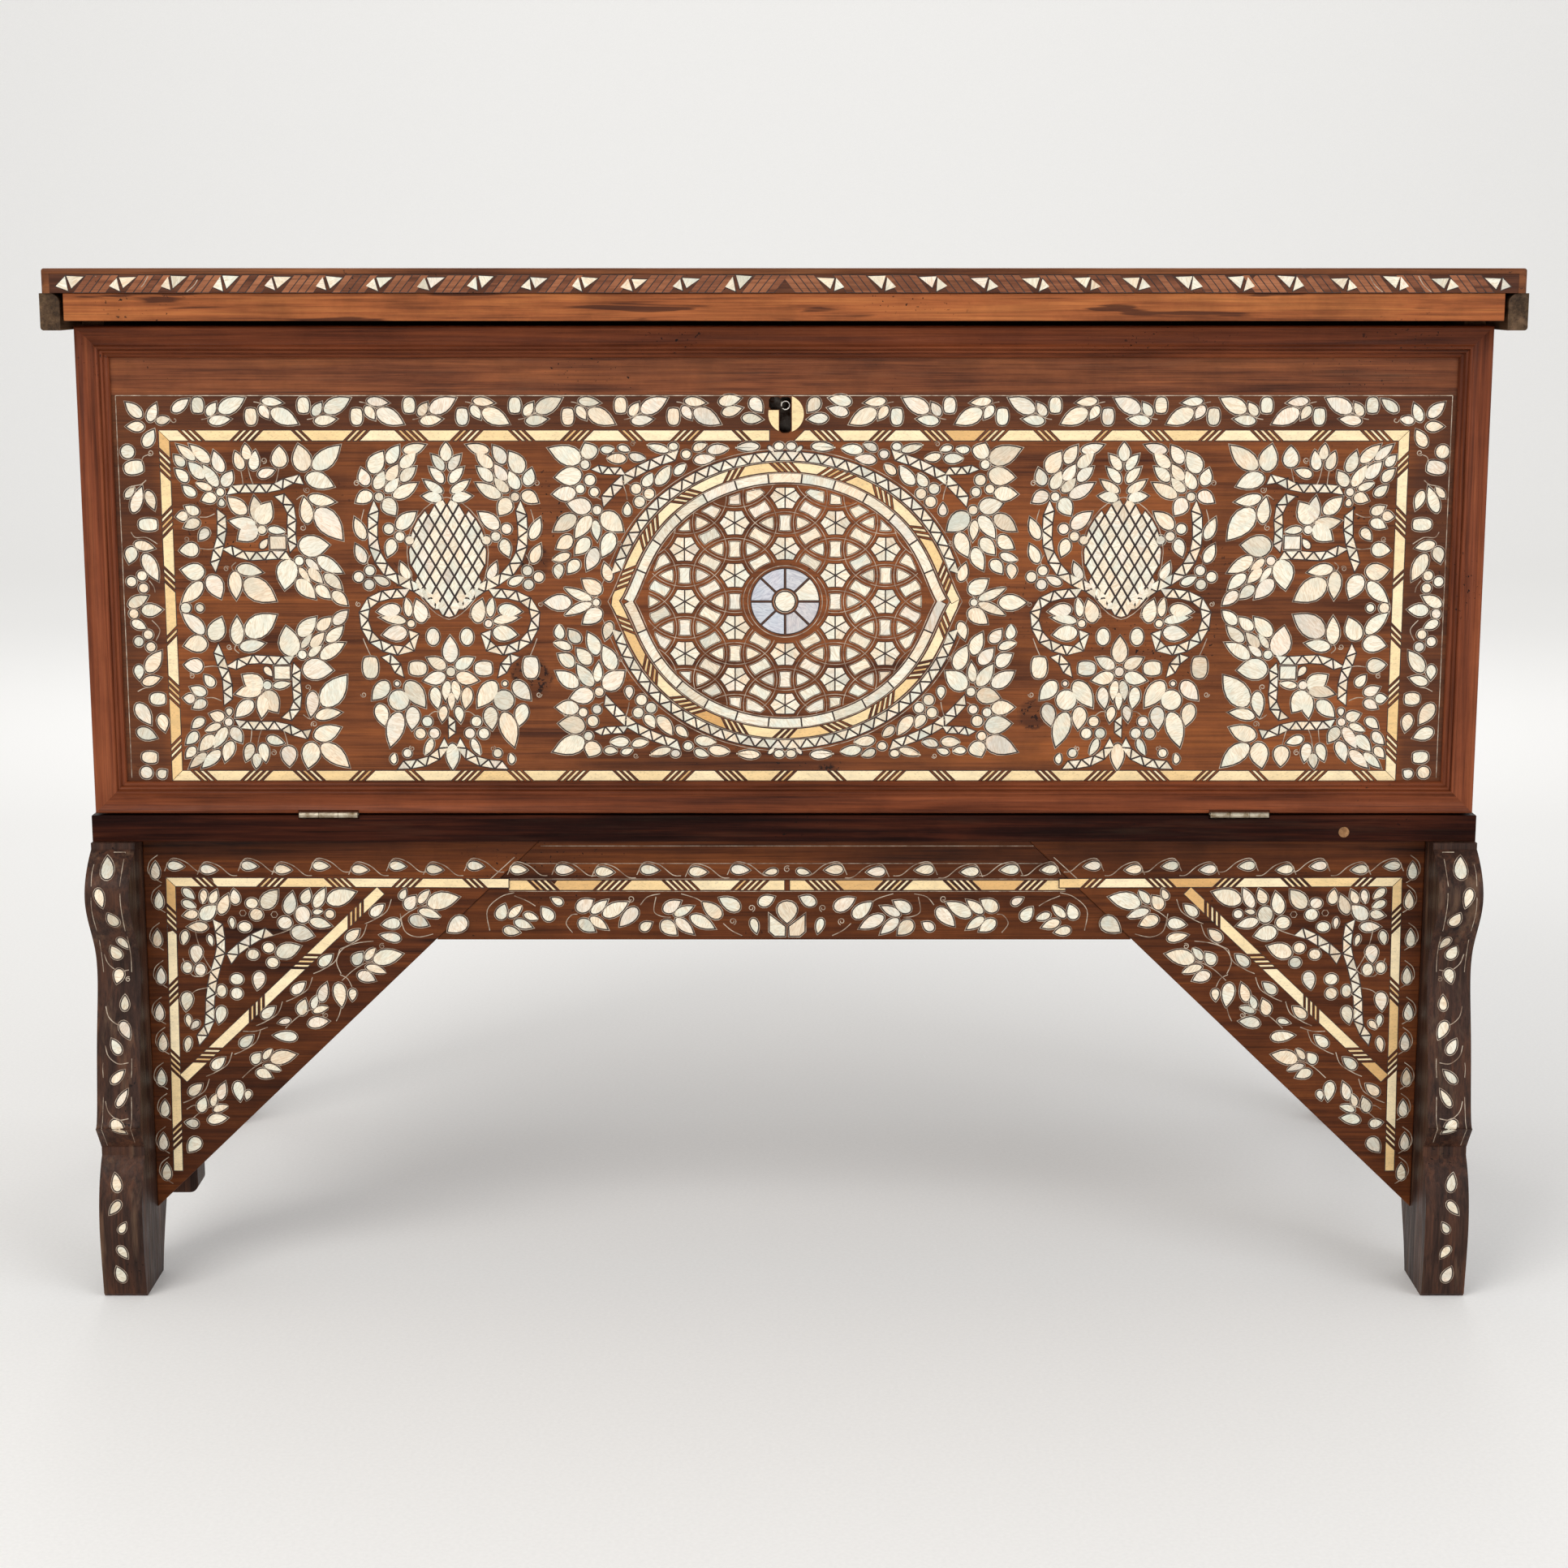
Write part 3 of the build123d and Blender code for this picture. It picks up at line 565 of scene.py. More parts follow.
def wood(name, dark, middle, light, along, stain, gloss, figure=1.0, fade=0.0, sheen=0.14, dents=0.0,
         margin=None, worm=()):
    """Worn walnut: figure, fibres, pores, dark stains and rubbed patches."""
    n = Nodes(name)
    n.shift_by_object()

    def drawn_out(scale):
        return n.stretched(tuple(1.0 if axis == "xyz".index(along) else scale for axis in range(3)))

    broad = n.noise(2.6 * figure, drawn_out(11.0), 6, 0.55, 0.9)
    bands = n.noise(5.5 * figure, drawn_out(34.0), 5, 0.6, 0.5)
    fine = n.noise(9, drawn_out(80.0), 5, 0.6, 0.2)
    patch = n.noise(4.5, None, 4, 0.6, 0.4)
    grime = n.noise(17, None, 5, 0.7)
    both = n.math("ADD", n.math("MULTIPLY", broad, 0.5), n.math("MULTIPLY", bands, 0.5))
    colour = n.ramp(both, (0.32, rgb(*dark)), (0.49, rgb(*middle)), (0.68, rgb(*light)))
    colour = n.mix(0.9, colour, n.ramp(fine, (0.30, 0.55), (0.48, 0.97), (0.72, 1.14)), "MULTIPLY")
    colour = n.mix(stain, colour, n.ramp(patch, (0.30, 0.36), (0.55, 1.0)), "MULTIPLY")
    colour = n.mix(0.5 * stain + 0.15, colour, n.ramp(grime, (0.36, 0.55), (0.55, 1.0)), "MULTIPLY")
    holes = n.math("GREATER_THAN", n.noise(330, None, 2, 0.4), 0.69)
    where = n.ramp(n.noise(7, None, 3), (0.56, 0.0), (0.64, 1.0))
    colour = n.mix(n.math("MULTIPLY", holes, where), colour, rgb(22, 12, 9))
    if dents:
        cuts = n.ramp(n.noise(7, drawn_out(13.0), 3, 0.5, 0.4), (0.6, 0.0), (0.64, 1.0))
        colour = n.mix(n.math("MULTIPLY", cuts, dents), colour, rgb(58, 28, 16))
    if margin:
        axes = n.add("ShaderNodeSeparateXYZ", Vector=n.unmoved).outputs
        colour = worm_damage(n, axes, colour, grime, worm)
        colour = dark_margin(n, axes, colour, grime, margin)
    if fade:
        rubbed = n.ramp(n.noise(8, drawn_out(11.0), 4, 0.6), (0.55, 0.0), (0.75, 1.0))
        colour = n.mix(n.math("MULTIPLY", rubbed, fade), colour, rgb(150, 118, 92))
    n.link("Base Color", colour)
    n.link("Roughness", n.ramp(n.noise(22, drawn_out(11.0), 4), (0.3, gloss - 0.09), (0.7, gloss + 0.16)))
    n.set("Specular IOR Level", sheen)
    n.bump(n.math("ADD", n.math("MULTIPLY", fine, 0.6), n.math("MULTIPLY", grime, 0.5)), 0.0007, 0.55)
    return n.material


def shell(name, pale, warm, cool):
    """Mother-of-pearl: layered streaks, each piece in its own direction and tint."""
    n = Nodes(name)
    tones = n.tone()
    turned = n.add("ShaderNodeVectorRotate", Vector=n.place, Axis=(0.0, 1.0, 0.0))
    n.put(turned.inputs["Angle"], n.math("MULTIPLY", tones[2], TAU))
    layers = n.add("ShaderNodeMapping", Vector=turned.outputs["Vector"], Scale=(1.0, 1.0, 4.5))
    streak = n.noise(95, layers.outputs["Vector"], 3, 0.55, 1.5)
    cloud = n.noise(60, None, 3, 0.5, 0.8)
    colour = n.mix(n.ramp(streak, (0.35, 0.0), (0.62, 1.0)), warm, pale)
    colour = n.mix(n.math("MULTIPLY", n.ramp(cloud, (0.42, 0.0), (0.66, 1.0)), 0.55), colour, cool)
    tint = n.ramp(tones[1], (0.0, rgb(255, 234, 208)), (0.35, rgb(255, 247, 230)), (0.7, rgb(249, 250, 240)),
                  (1.0, rgb(255, 240, 230)))
    colour = n.mix(0.75, colour, tint, "MULTIPLY")
    level = n.ramp(tones[0], (0.0, 0.7), (0.2, 0.9), (0.5, 1.0), (1.0, 1.0))
    colour = n.mix(0.8, colour, level, "MULTIPLY")
    n.link("Base Color", colour)
    n.link("Roughness", n.ramp(streak, (0.3, 0.2), (0.7, 0.36)))
    n.set("Coat Weight", 0.25)
    n.set("Coat Roughness", 0.15)
    n.bump(n.noise(130, layers.outputs["Vector"], 2, 0.5, 1.0), 0.0003, 0.4)
    return n.material


def bone(name, pale=None):
    """Yellowed bone with fine pores along its length and darker, oranger pieces."""
    n = Nodes(name)
    tones = n.tone()
    grain = n.noise(60, n.stretched((1, 1, 3)), 4, 0.6)
    colour = pale or n.ramp(tones[0], (0.0, rgb(212, 160, 92)), (0.16, rgb(238, 200, 138)),
                            (0.4, rgb(245, 217, 164)), (1.0, rgb(250, 230, 188)))
    colour = n.mix(0.6, colour, n.ramp(grain, (0.3, 0.72), (0.6, 1.0)), "MULTIPLY")
    pores = n.noise(420, n.stretched((1, 1, 2)), 2, 0.5)
    colour = n.mix(0.35, colour, n.ramp(pores, (0.34, 0.5), (0.44, 1.0)), "MULTIPLY")
    n.link("Base Color", colour)
    n.link("Roughness", n.ramp(grain, (0.3, 0.34), (0.7, 0.5)))
    n.bump(pores, 0.0002, 0.4)
    return n.material


def metal(name, bright, dull, rough=0.4, tarnish=0.5, scale=60, metallic=1.0):
    """Old metal: bright where rubbed, dull and spotted elsewhere."""
    n = Nodes(name)
    spots = n.noise(scale, None, 5, 0.65)
    colour = n.mix(n.ramp(spots, (tarnish - 0.12, 1.0), (tarnish + 0.12, 0.0)), bright, dull)
    n.link("Base Color", colour)
    n.set("Metallic", metallic)
    n.link("Roughness", n.ramp(spots, (0.3, rough + 0.2), (0.7, rough - 0.05)))
    n.bump(n.noise(scale * 5, None, 3), 0.0003, 0.4)
    return n.material


def filler(name):
    """The dark mastic that beds each piece."""
    n = Nodes(name)
    crumbs = n.noise(220, None, 4)
    n.link("Base Color", n.ramp(crumbs, (0.3, rgb(26, 16, 14)), (0.7, rgb(58, 38, 30))))
    n.link("Roughness", n.ramp(crumbs, (0.3, 0.8), (0.7, 0.55)))
    n.bump(crumbs, 0.0004, 0.6)
    return n.material


def ground(name):
    n = Nodes(name)
    speckle = n.noise(300, None, 2)
    n.link("Base Color", n.ramp(speckle, (0.3, rgb(243, 242, 240)), (0.7, rgb(248, 247, 245))))
    n.set("Roughness", 0.85)
    n.bump(speckle, 0.0002, 0.2)
    return n.material


FIELD_MARGIN = (0.572, 0.8195)
FIELD_WORM = [(-0.237, 0.592, 0.032), (-0.232, 0.70, 0.03), (0.232, 0.556, 0.026), (0.04, 0.5, 0.02)]
PLAIN = (62, 40, 28), (104, 72, 50), (134, 98, 70)
# name; dark, middle and light colour; grain; stain, gloss, figure, fade, sheen, dents; margin, worm
WOODS = [
    ("field_walnut", (64, 30, 16), (120, 66, 34), (152, 86, 42), "x", 0.6, 0.4, 1.0, 0.0, 0.14, 0.0,
     FIELD_MARGIN, FIELD_WORM),
    ("base_walnut", (34, 15, 9), (92, 47, 22), (124, 68, 32), "x", 0.7, 0.42, 1.0, 0.0, 0.1),
    ("top_walnut", (54, 26, 16), (116, 64, 38), (148, 86, 50), "x", 0.6, 0.4, 1.6, 0.1),
    ("moulding_walnut", (56, 24, 13), (108, 54, 30), (140, 74, 42), "x", 0.4, 0.34, 1.0, 0.0, 0.1),
    # painted light: the upright mouldings are a lighter copy of moulding_walnut, coloured as the more
    # strongly lit side moulding reads; their grain runs upright
    ("moulding_upright", (60, 27, 16), (120, 62, 38), (150, 84, 52), "z", 0.4, 0.34, 1.0, 0.0, 0.1),
    ("dark_walnut", (12, 4, 3), (38, 14, 8), (78, 36, 20), "x", 0.5, 0.42, 1.0, 0.04, 0.05),
    ("dark_upright", (26, 16, 13), (60, 40, 32), (98, 62, 44), "z", 0.5, 0.4, 1.0, 0.3),
    ("lid_walnut", (76, 36, 20), (154, 86, 46), (186, 114, 62), "x", 0.6, 0.42, 1.3, 0.0, 0.14, 0.8),
    ("lid_top", (58, 29, 18), (112, 64, 36), (144, 88, 52), "x", 0.5, 0.42, 1.0, 0.1),
    ("band_ground", (46, 24, 16), (84, 48, 32), (110, 66, 44), "x", 0.4, 0.45),
    ("plain_wood", *PLAIN, "x", 0.5, 0.62),
    ("plain_side", *PLAIN, "y", 0.5, 0.6),
    ("plain_upright", *PLAIN, "z", 0.5, 0.62),
    ("cleat_wood", (34, 24, 17), (80, 60, 42), (112, 88, 64), "y", 0.6, 0.55, 1.4, 0.3),
    ("light_wood", (120, 84, 54), (166, 124, 84), (190, 150, 106), "y", 0.3, 0.6),
    ("parquet", (88, 46, 30), (150, 94, 64), (172, 112, 78), "x", 0.4, 0.42),
    ("parquet_dark", (64, 34, 23), (126, 76, 52), (152, 94, 66), "x", 0.4, 0.42),
]
MATERIALS = {row[0]: wood(*row) for row in WOODS}
MATERIALS.update(
    pearl=shell("pearl", rgb(245, 239, 226), rgb(222, 204, 181), rgb(204, 213, 207)),
    pearl_blue=shell("pearl_blue", rgb(206, 208, 220), rgb(170, 172, 190), rgb(186, 198, 214)),
    bone=bone("bone"),
    bone_plate=bone("bone_plate", rgb(243, 216, 162)),
    wire=metal("wire", rgb(196, 180, 160), rgb(128, 104, 86), 0.5, 0.5, 90, 0.35),
    mastic=filler("mastic"),
    lock_iron=metal("lock_iron", rgb(120, 112, 104), rgb(66, 44, 32), 0.5, 0.52, 70),
    bright_steel=metal("bright_steel", rgb(226, 222, 214), rgb(170, 164, 156), 0.25, 0.4, 300),
    hinge_steel=metal("hinge_steel", rgb(190, 180, 160), rgb(116, 96, 70), 0.36, 0.46, 90))
CHOSEN = {  # nodes that wear another material than the one named by their slot
    "top_walnut": ["flap_top_board"], "base_walnut": ["apron_board", "left_bracket", "right_bracket"],
    "bone_plate": ["keyhole_escutcheon"], "hinge_steel": ["lock_key_post"], "lid_top": ["lid_board"],
    # the side mouldings wear the lighter, painted-light copy of the moulding wood
    "moulding_upright": ["flap_left_moulding", "flap_right_moulding"],
    "dark_upright": ["front_left_leg", "front_right_leg", "left_corner_block", "right_corner_block"],
    "plain_upright": ["back_left_leg", "back_right_leg"], "cleat_wood": ["lid_left_cleat", "lid_right_cleat"],
    "band_ground": ["lid_front_band", "lid_left_band", "lid_right_band"],
    "plain_side": ["left_end_panel", "right_end_panel", "left_side_apron", "right_side_apron"],
}


def ease_edges(node):
    """Rounds a board's arrises a little, as wear has done, without moving the CAD mesh."""
    weld = node.modifiers.new("weld", "WELD")
    weld.merge_threshold = 0.00002
    bevel = node.modifiers.new("worn_edges", "BEVEL")
    bevel.width = 0.0011
    bevel.segments = 2
    bevel.limit_method = "ANGLE"
    bevel.angle_limit = math.radians(50)
    bevel.use_clamp_overlap = True


def dress_nodes():
    """Gives every CAD node its material, with the grain along the board."""
    chosen = {node: material for material, names in CHOSEN.items() for node in names}
    for name, node in NODES.items():
        slot = node.data.materials[0].name.split(".")[0]
        for i in range(len(node.data.materials)):
            node.data.materials[i] = MATERIALS[chosen.get(name, slot)]
        if slot.endswith(("walnut", "wood")):
            ease_edges(node)


# ---------------------------------------------------------------- the drawings
LEAVES_CORNER = [
    (-542, 793.3, -558.7, 807.8, 9), (-528.7, 791, -547, 807.8, 11), (-518, 782.6, -525.4, 801.8, 10),
    (-552.4, 788, -561.4, 798, 8), (-534, 776.6, -549, 792, 12), (-522, 768.8, -535.6, 789.8, 11),
    (-550, 773.8, -560.8, 785.2, 8.5), (-517.2, 769.4, -508.4, 783.4, 10),
    (-527.2, 766.4, -543.4, 773, 7.5), (-543, 761, -554.8, 770, 8), (-524.8, 761, -538.6, 757.6, 9.5),
    (-440.4, 783, -445.2, 807, 15), (-434.2, 786, -409, 807, 15), (-439.8, 778.6, -415.2, 769.8, 13.5),
    (-497, 744.4, -513.4, 759.2, 11.5), (-487.4, 737.4, -489.2, 760.6, 12.2),
    (-485.4, 734.4, -473.6, 755, 18), (-488, 734.2, -513.4, 737.6, 12.5),
    (-487.2, 732.8, -505.8, 719.2, 17), (-477, 729.8, -460.4, 727, 6.5), (-439.2, 734.8, -442, 758.6, 10.5),
    (-438.4, 759, -414.4, 754.8, 9.5), (-432.6, 749.4, -409.6, 721.2, 19),
    (-448.6, 713.6, -421, 714.4, 17.5), (-457.8, 702, -463.6, 673.2, 20), (-443.2, 702, -430, 691.4, 8),
    (-433, 702.6, -409.6, 688.2, 12), (-449.8, 694.4, -439, 679.6, 7), (-441, 693.4, -427.4, 679, 10),
    (-426.2, 687.8, -410, 673.2, 10.5), (-452, 683, -434.8, 664.8, 14), (-434.2, 676.6, -420.8, 665.2, 9.5),
    (-418.6, 672, -405.2, 659.4, 9.5), (-507.6, 692.4, -484.4, 688.8, 10), (-509, 690.8, -508.6, 665.4, 11),
    (-500.2, 682.6, -472, 664.4, 18), (-537.6, 688.8, -558.8, 691, 14), (-539.8, 680.8, -560, 660.8, 13),
    (-533, 686.4, -523.2, 665.6, 14), (-540.6, 744.4, -553.4, 751, 8.5), (-550.2, 742, -561.4, 741.4, 8.5),
    (-540.4, 737.6, -555, 731.6, 9)]
DROPS_CORNER = [
    (-499.2, 784.6, -505.2, 801.4, 10), (-494, 793.4, -495.8, 808.4, 9.5),
    (-489.2, 784, -486.4, 802.4, 10.5), (-464.8, 786.4, -464.4, 806.4, 15),
    (-484.8, 779.2, -468.6, 784.2, 9), (-532.6, 730, -541.4, 719.2, 9.5), (-542, 711.4, -560, 709.8, 13.5),
    (-519, 750.5, -519.5, 758.5, 6.5)]
VASE_MIDDLE = [
    (-311.3, 792, -311, 810, 11.5), (-311, 604.8, -311, 630.5, 15), (-311, 577.5, -311, 559.6, 7.5),
    (-311, 529, -311, 502.8, 13)]
LEAVES_VASE = [
    (-313.6, 784, -324.8, 798.8, 9.5), (-314, 772.4, -327, 787, 9.5), (-314.8, 763.6, -332.3, 775.3, 9),
    (-315.4, 757.4, -334.5, 760.4, 10.5), (-380, 781.5, -368.4, 801, 14), (-384.6, 770, -389.6, 786, 10.5),
    (-376.8, 766.4, -368.4, 784, 11.5), (-365, 790, -354.6, 806.5, 11), (-350.6, 801.6, -329.6, 807.4, 10),
    (-366.4, 774.6, -355, 790, 11), (-353.4, 786.4, -338.2, 800.6, 11.5), (-368, 764.2, -354.4, 777.6, 10),
    (-353.4, 774, -338.8, 787.4, 11), (-361, 759.4, -337.4, 772.6, 12), (-380.2, 762.6, -395.2, 754.3, 11),
    (-368.2, 758.4, -359.4, 742.4, 13), (-387, 720.5, -395.6, 740.2, 9.5),
    (-388.4, 698.6, -396.6, 716, 9.5), (-366, 680.6, -380.6, 687.4, 7.5), (-358, 730.6, -339.6, 745.6, 12),
    (-362, 720.4, -367.4, 704, 10), (-347.4, 683.4, -355.6, 699.6, 9), (-356.4, 655.4, -378.6, 653, 13),
    (-351.4, 643.8, -375.8, 647.6, 9), (-351, 635.4, -373.8, 632.8, 13.5),
    (-349.2, 648.8, -351.8, 667, 7.5), (-336.4, 643, -341.6, 664.6, 12.5),
    (-315.6, 600.4, -333, 609.8, 10.5), (-316, 594, -336.8, 589.4, 11.5), (-313.8, 588.4, -316.6, 568.6, 9),
    (-326.6, 582, -323.6, 561.4, 10), (-316.8, 563.6, -319.2, 548.4, 8), (-370, 587, -385, 570, 13),
    (-352.6, 587.4, -335.2, 562.6, 17), (-377.4, 565.4, -372.4, 544.8, 12),
    (-347.4, 563.4, -348.6, 541.6, 12.5), (-360.2, 558.6, -369.6, 526, 15), (-330, 533.6, -337.6, 517.4, 7),
    (-366.4, 509.4, -365, 520, 6)]
LEAVES_SPANDREL = [
    (-187.7, 791, -216, 803.3, 16), (-177.3, 795, -184, 810, 12), (-187, 782, -210, 779, 13),
    (-191.3, 763.3, -212, 762, 11), (-106.7, 802.3, -125.3, 809.3, 7), (-82.7, 804.3, -70.7, 811.3, 7),
    (-69.3, 803, -50.7, 806, 9), (-81.7, 793.7, -63.3, 795.7, 7), (-168, 804.3, -156, 805.7, 7),
    (-152, 807.7, -141.7, 802.7, 6), (-146.3, 794.7, -163.3, 795, 7), (-141.7, 797.7, -127, 794.7, 6),
    (-117.3, 771.7, -105, 788, 8), (-100.3, 781, -90.3, 789.7, 6), (-129.3, 770, -121.3, 781.3, 7),
    (-24, 810, -44, 808.5, 8), (-178.7, 750, -200, 754, 13), (-168.3, 742, -148.7, 726, 16),
    (-178.3, 742, -193.7, 720.7, 13), (-174.7, 738.3, -172.7, 718.7, 9), (-192.7, 741, -211.7, 728.3, 10),
    (-160, 726.7, -169, 706.3, 10), (-181, 720.3, -193, 706.7, 9), (-197, 722.3, -210.3, 712, 9),
    (-173.3, 711.3, -181.3, 692.3, 9), (-199, 706, -214.7, 701, 6), (-190.7, 700, -200.3, 689, 8),
    (-208, 697, -209.3, 683.7, 7), (-178.3, 664, -204.7, 675.7, 9), (-171, 669, -188, 681, 12),
    (-161.3, 681.3, -166.7, 698.7, 10)]
CIRCLES_SPANDREL = [
    (-179, 775, 4.8), (-188, 766.8, 4), (-175, 764, 4), (-101.3, 806.8, 4.4), (-136.4, 767, 4.6),
    (-124.4, 762.4, 4.6), (-133.3, 755, 4.8), (-183.3, 789.3, 4), (-90, 799.3, 4.4), (-172.7, 747.3, 4),
    (-5, 808, 4.6)]


def draw_corner(panel):
    """One corner's flowers: leaves, drops, berries and zigzag stems round a square."""
    panel.leaves(LEAVES_CORNER, 1.2, 0.8)
    panel.leaves(DROPS_CORNER, shape=drop)
    panel.discs([(-520.1, 764, 4.0), (-482.8, 729.2, 4.3), (-449.2, 700.3, 4.4)])
    panel.piece([(-475.9, 711), (-460.9, 711), (-460.9, 723.4), (-475.9, 723.4)])
    panel.zigzag([
        -516, 765, -507, 766.5, -499.8, 767.4, -484.2, 767.4, -470, 767.6, -462, 771.4, -451, 776.6, -441,
        774.6], 8)
    panel.zigzag([
        -468.5, 763.5, -461, 757, -456, 749.8, -454.6, 741, -455.6, 730, -455.6, 720, -453.6, 708], 8)
    panel.zigzag([
        -519.6, 749, -520, 740, -519.6, 731, -520.4, 722, -523, 714, -525.6, 706, -527.4, 698, -531,
        691], 8.5)
    panel.zigzag([-519, 715, -511, 709.6, -502, 705.6, -492, 704.4, -480, 705.4, -468, 706, -455, 704.8], 8)
    panel.piece(leaf((-484.5, 712), (-478, 720.5), 6), wire=False)
    panel.wires([
        (-498.7, 770, -499.3, 777, -500.3, 783), (-489, 770, -492, 778, -494, 788),
        (-469, 771, -467, 778, -465.3, 786), (-526, 744, -533, 741, -540, 741),
        (-526, 712, -533, 711, -541, 712), (-508, 699, -512, 695, -510, 690),
        (-450, 757, -444, 761, -440, 758)])
    panel.spirals([
        (-440, 766, 3.2, 2.5), (-517, 693, 2.8, 0.5), (-445, 731, 3.0, 1.2, 1.2, -1),
        (-553, 720.5, 2.8, 4.0), (-479, 793, 3.0, 4.4)])


def draw_pineapple(panel):
    """The vase's body: small pearl diamonds inside a pointed oval."""
    window = profile((-311.5, 757), (-311.5, 648), 71, 0.44, 0.62, 0.66, count=14)
    for row in range(-8, 9):
        for column in range(-8, 9):
            x = -311.5 + column * 11.4 + (5.7 if row % 2 else 0)
            z = 705 + row * 9.5
            diamond = ccw([(x - 4.5, z), (x, z - 7.9), (x + 4.5, z), (x, z + 7.9)])
            part = clip(diamond, window)
            if part is not None and abs(area(part)) > 16:
                panel.piece(part, wire=False, mastic=0.9)
    panel.wire(np.vstack([offset(window, 2.2), offset(window, 2.2)[:1]]), 0.9, curve=False)


def draw_vase(panel):
    """The right half of the drawing is the left one's mirror image about the vase's own middle."""
    whole = panel.mirrors
    halves = whole + [(-sx, cx - 622 * sx, sz, cz) for sx, cx, sz, cz in whole]
    draw_pineapple(panel)
    panel.leaves(VASE_MIDDLE)
    panel.piece(disc(-311, 596.6, 4.6))
    panel.zigzag([-311, 556, -311, 545, -311, 533], 7)
    panel.mirrors = halves
    panel.leaves(LEAVES_VASE, 1.15, 0.9)
    panel.discs([
        (-373.7, 759.6, 4.3), (-384, 691.2, 4.8), (-394.5, 685.4, 5.0), (-385, 678.3, 5.0),
        (-365.4, 730, 5.0), (-355.3, 723, 4.6), (-347, 641.8, 3.8), (-334, 549.6, 5.0),
        (-340.7, 538.2, 5.2), (-327.7, 538.4, 5.0), (-361.4, 585.4, 2.6), (-360, 569.8, 9.8),
        (-346.5, 719.5, 4.4), (-353.3, 519.5, 4.2), (-326.8, 629.4, 6.2, 8.2)])
    panel.leaves([(-385.8, 590, -385.8, 611, 15), (-333, 599.4, -350, 600, 14)], shape=bud)
    panel.zigzag([
        -374.6, 755, -379.4, 745.7, -380.2, 733.1, -380.5, 720.5, -378.4, 707.9, -372, 696, -362.6, 685.2,
        -350, 679.5, -337, 673, -325, 662, -317.3, 652], 9)
    panel.zigzag([
        -346, 670.5, -362.6, 669.7, -375.6, 667.3, -386.7, 660.5, -391.2, 650.7, -390.2, 640.7, -386.2,
        630.7, -378.4, 622.8, -368.9, 618.6, -356.3, 616, -346.9, 619.6, -343.4, 629, -345.6, 638], 8.4)
    panel.zigzag([-374, 614, -365.5, 607.5, -360, 600, -358.4, 590], 8)
    panel.zigzag([-314.6, 533, -320, 522.6, -328, 515, -339, 510.4, -352, 508.4, -364, 508], 8)
    panel.wires([
        (-388, 748, -391, 735, -389, 722), (-383, 706, -386, 700, -385, 696),
        (-385.5, 612, -389, 620, -392, 628), (-333, 555, -327, 559, -321, 558)])
    panel.spirals([
        (-394, 772, 3.0, 0.4), (-330.4, 649, 2.6, 1.0), (-395.5, 660, 2.6, 2.0), (-393, 575, 2.8, 3.0),
        (-349, 524, 2.8, 2.0)])
    panel.mirrors = whole


def below_band(shape):
    """The shape pressed down a little where it comes near the bone band above it."""
    over = np.maximum(shape[:, 1] - 798, 0)
    return shape - np.stack([np.zeros(len(shape)), over * 0.24], 1)


def draw_spandrel(panel):
    """The sprays of leaves beside the medallion."""
    panel.leaves(LEAVES_SPANDREL, 1.6, 0.7, shape=lambda *row: below_band(leaf(*row)))
    for row in CIRCLES_SPANDREL:
        panel.piece(below_band(disc(*row)), grows=1.15)
    panel.piece(drop((-144.7, 742), (-144.7, 754), 8))
    panel.piece(leaf((-14.5, 806), (-9, 800.5), 3.5), wire=False)
    panel.zigzag([-177.3, 788, -168, 784, -156, 783.5, -145, 783], 7)
    panel.zigzag([
        -170.3, 752.3, -162.7, 760.3, -154.7, 769, -144, 778.3, -132, 785, -117.3, 791.7, -104, 796, -94.7,
        799], 8.5)
    panel.spirals([
        (-139, 808, 2.6, 0.3), (-205, 768.5, 2.8, 3.6), (-115, 803, 2.6, 2.0), (-152, 716, 2.8, 1.0)])
    panel.wires([
        (-169, 757, -174, 760, -175, 763), (-149, 773, -146, 764, -144.7, 757),
        (-150, 775, -143, 771, -138, 769)])


RING_MIDDLE = (1.0, 662.5)


def ring(rx, rz, cusp, count=120):
    """An oval with a pointed cusp at its left and right."""
    turn = np.linspace(0, TAU, count, endpoint=False)
    near = np.minimum(np.abs(np.sin(turn / 2)), np.abs(np.cos(turn / 2))) * 2
    near = np.where(np.abs(np.cos(turn)) > 0.5, near, 9)
    reach = 1 + cusp / rx * np.exp(-near / 0.16)
    return np.stack([RING_MIDDLE[0] + rx * reach * np.cos(turn), RING_MIDDLE[1] + rz * np.sin(turn)], 1)


def draw_rings(panel):
    """The medallion's rim: zigzags, a bone band and a ring of pearl, with wires between them."""
    outer = ring(158.6, 134.6, 5, 180)
    panel.zigzag(outer[5:86], 8.6)
    panel.zigzag(outer[95:176], 8.6)
    bones = Path(ring(146.5, 124.5, 12), closed=True)
    panel.band(bones, 8.5, 47, [3, 2, 3, 4], curved=True)
    pearls = Path(ring(135, 114.5, 11), closed=True)
    count = 26
    step = pearls.length / count
    for k in range(count):
        panel.strip(pearls, k * step + 0.5, (k + 1) * step - 0.5, 8.5, kind="pearl", curved=True)
    for rx, rz, cusp in [(165, 141, 12), (152.6, 129.6, 12), (140.6, 119, 12), (129.3, 109, 10)]:
        line = ring(rx, rz, cusp)
        panel.wire(np.vstack([line, line[:1]]), 0.8, curve=False)


STRAP = 2.95  # half the width of the interlace's straps
FARTHEST = 22  # how far a cell's middle may be moved inward to lie inside the medallion
SMALLEST = 22  # area under which a cell stays plain wood


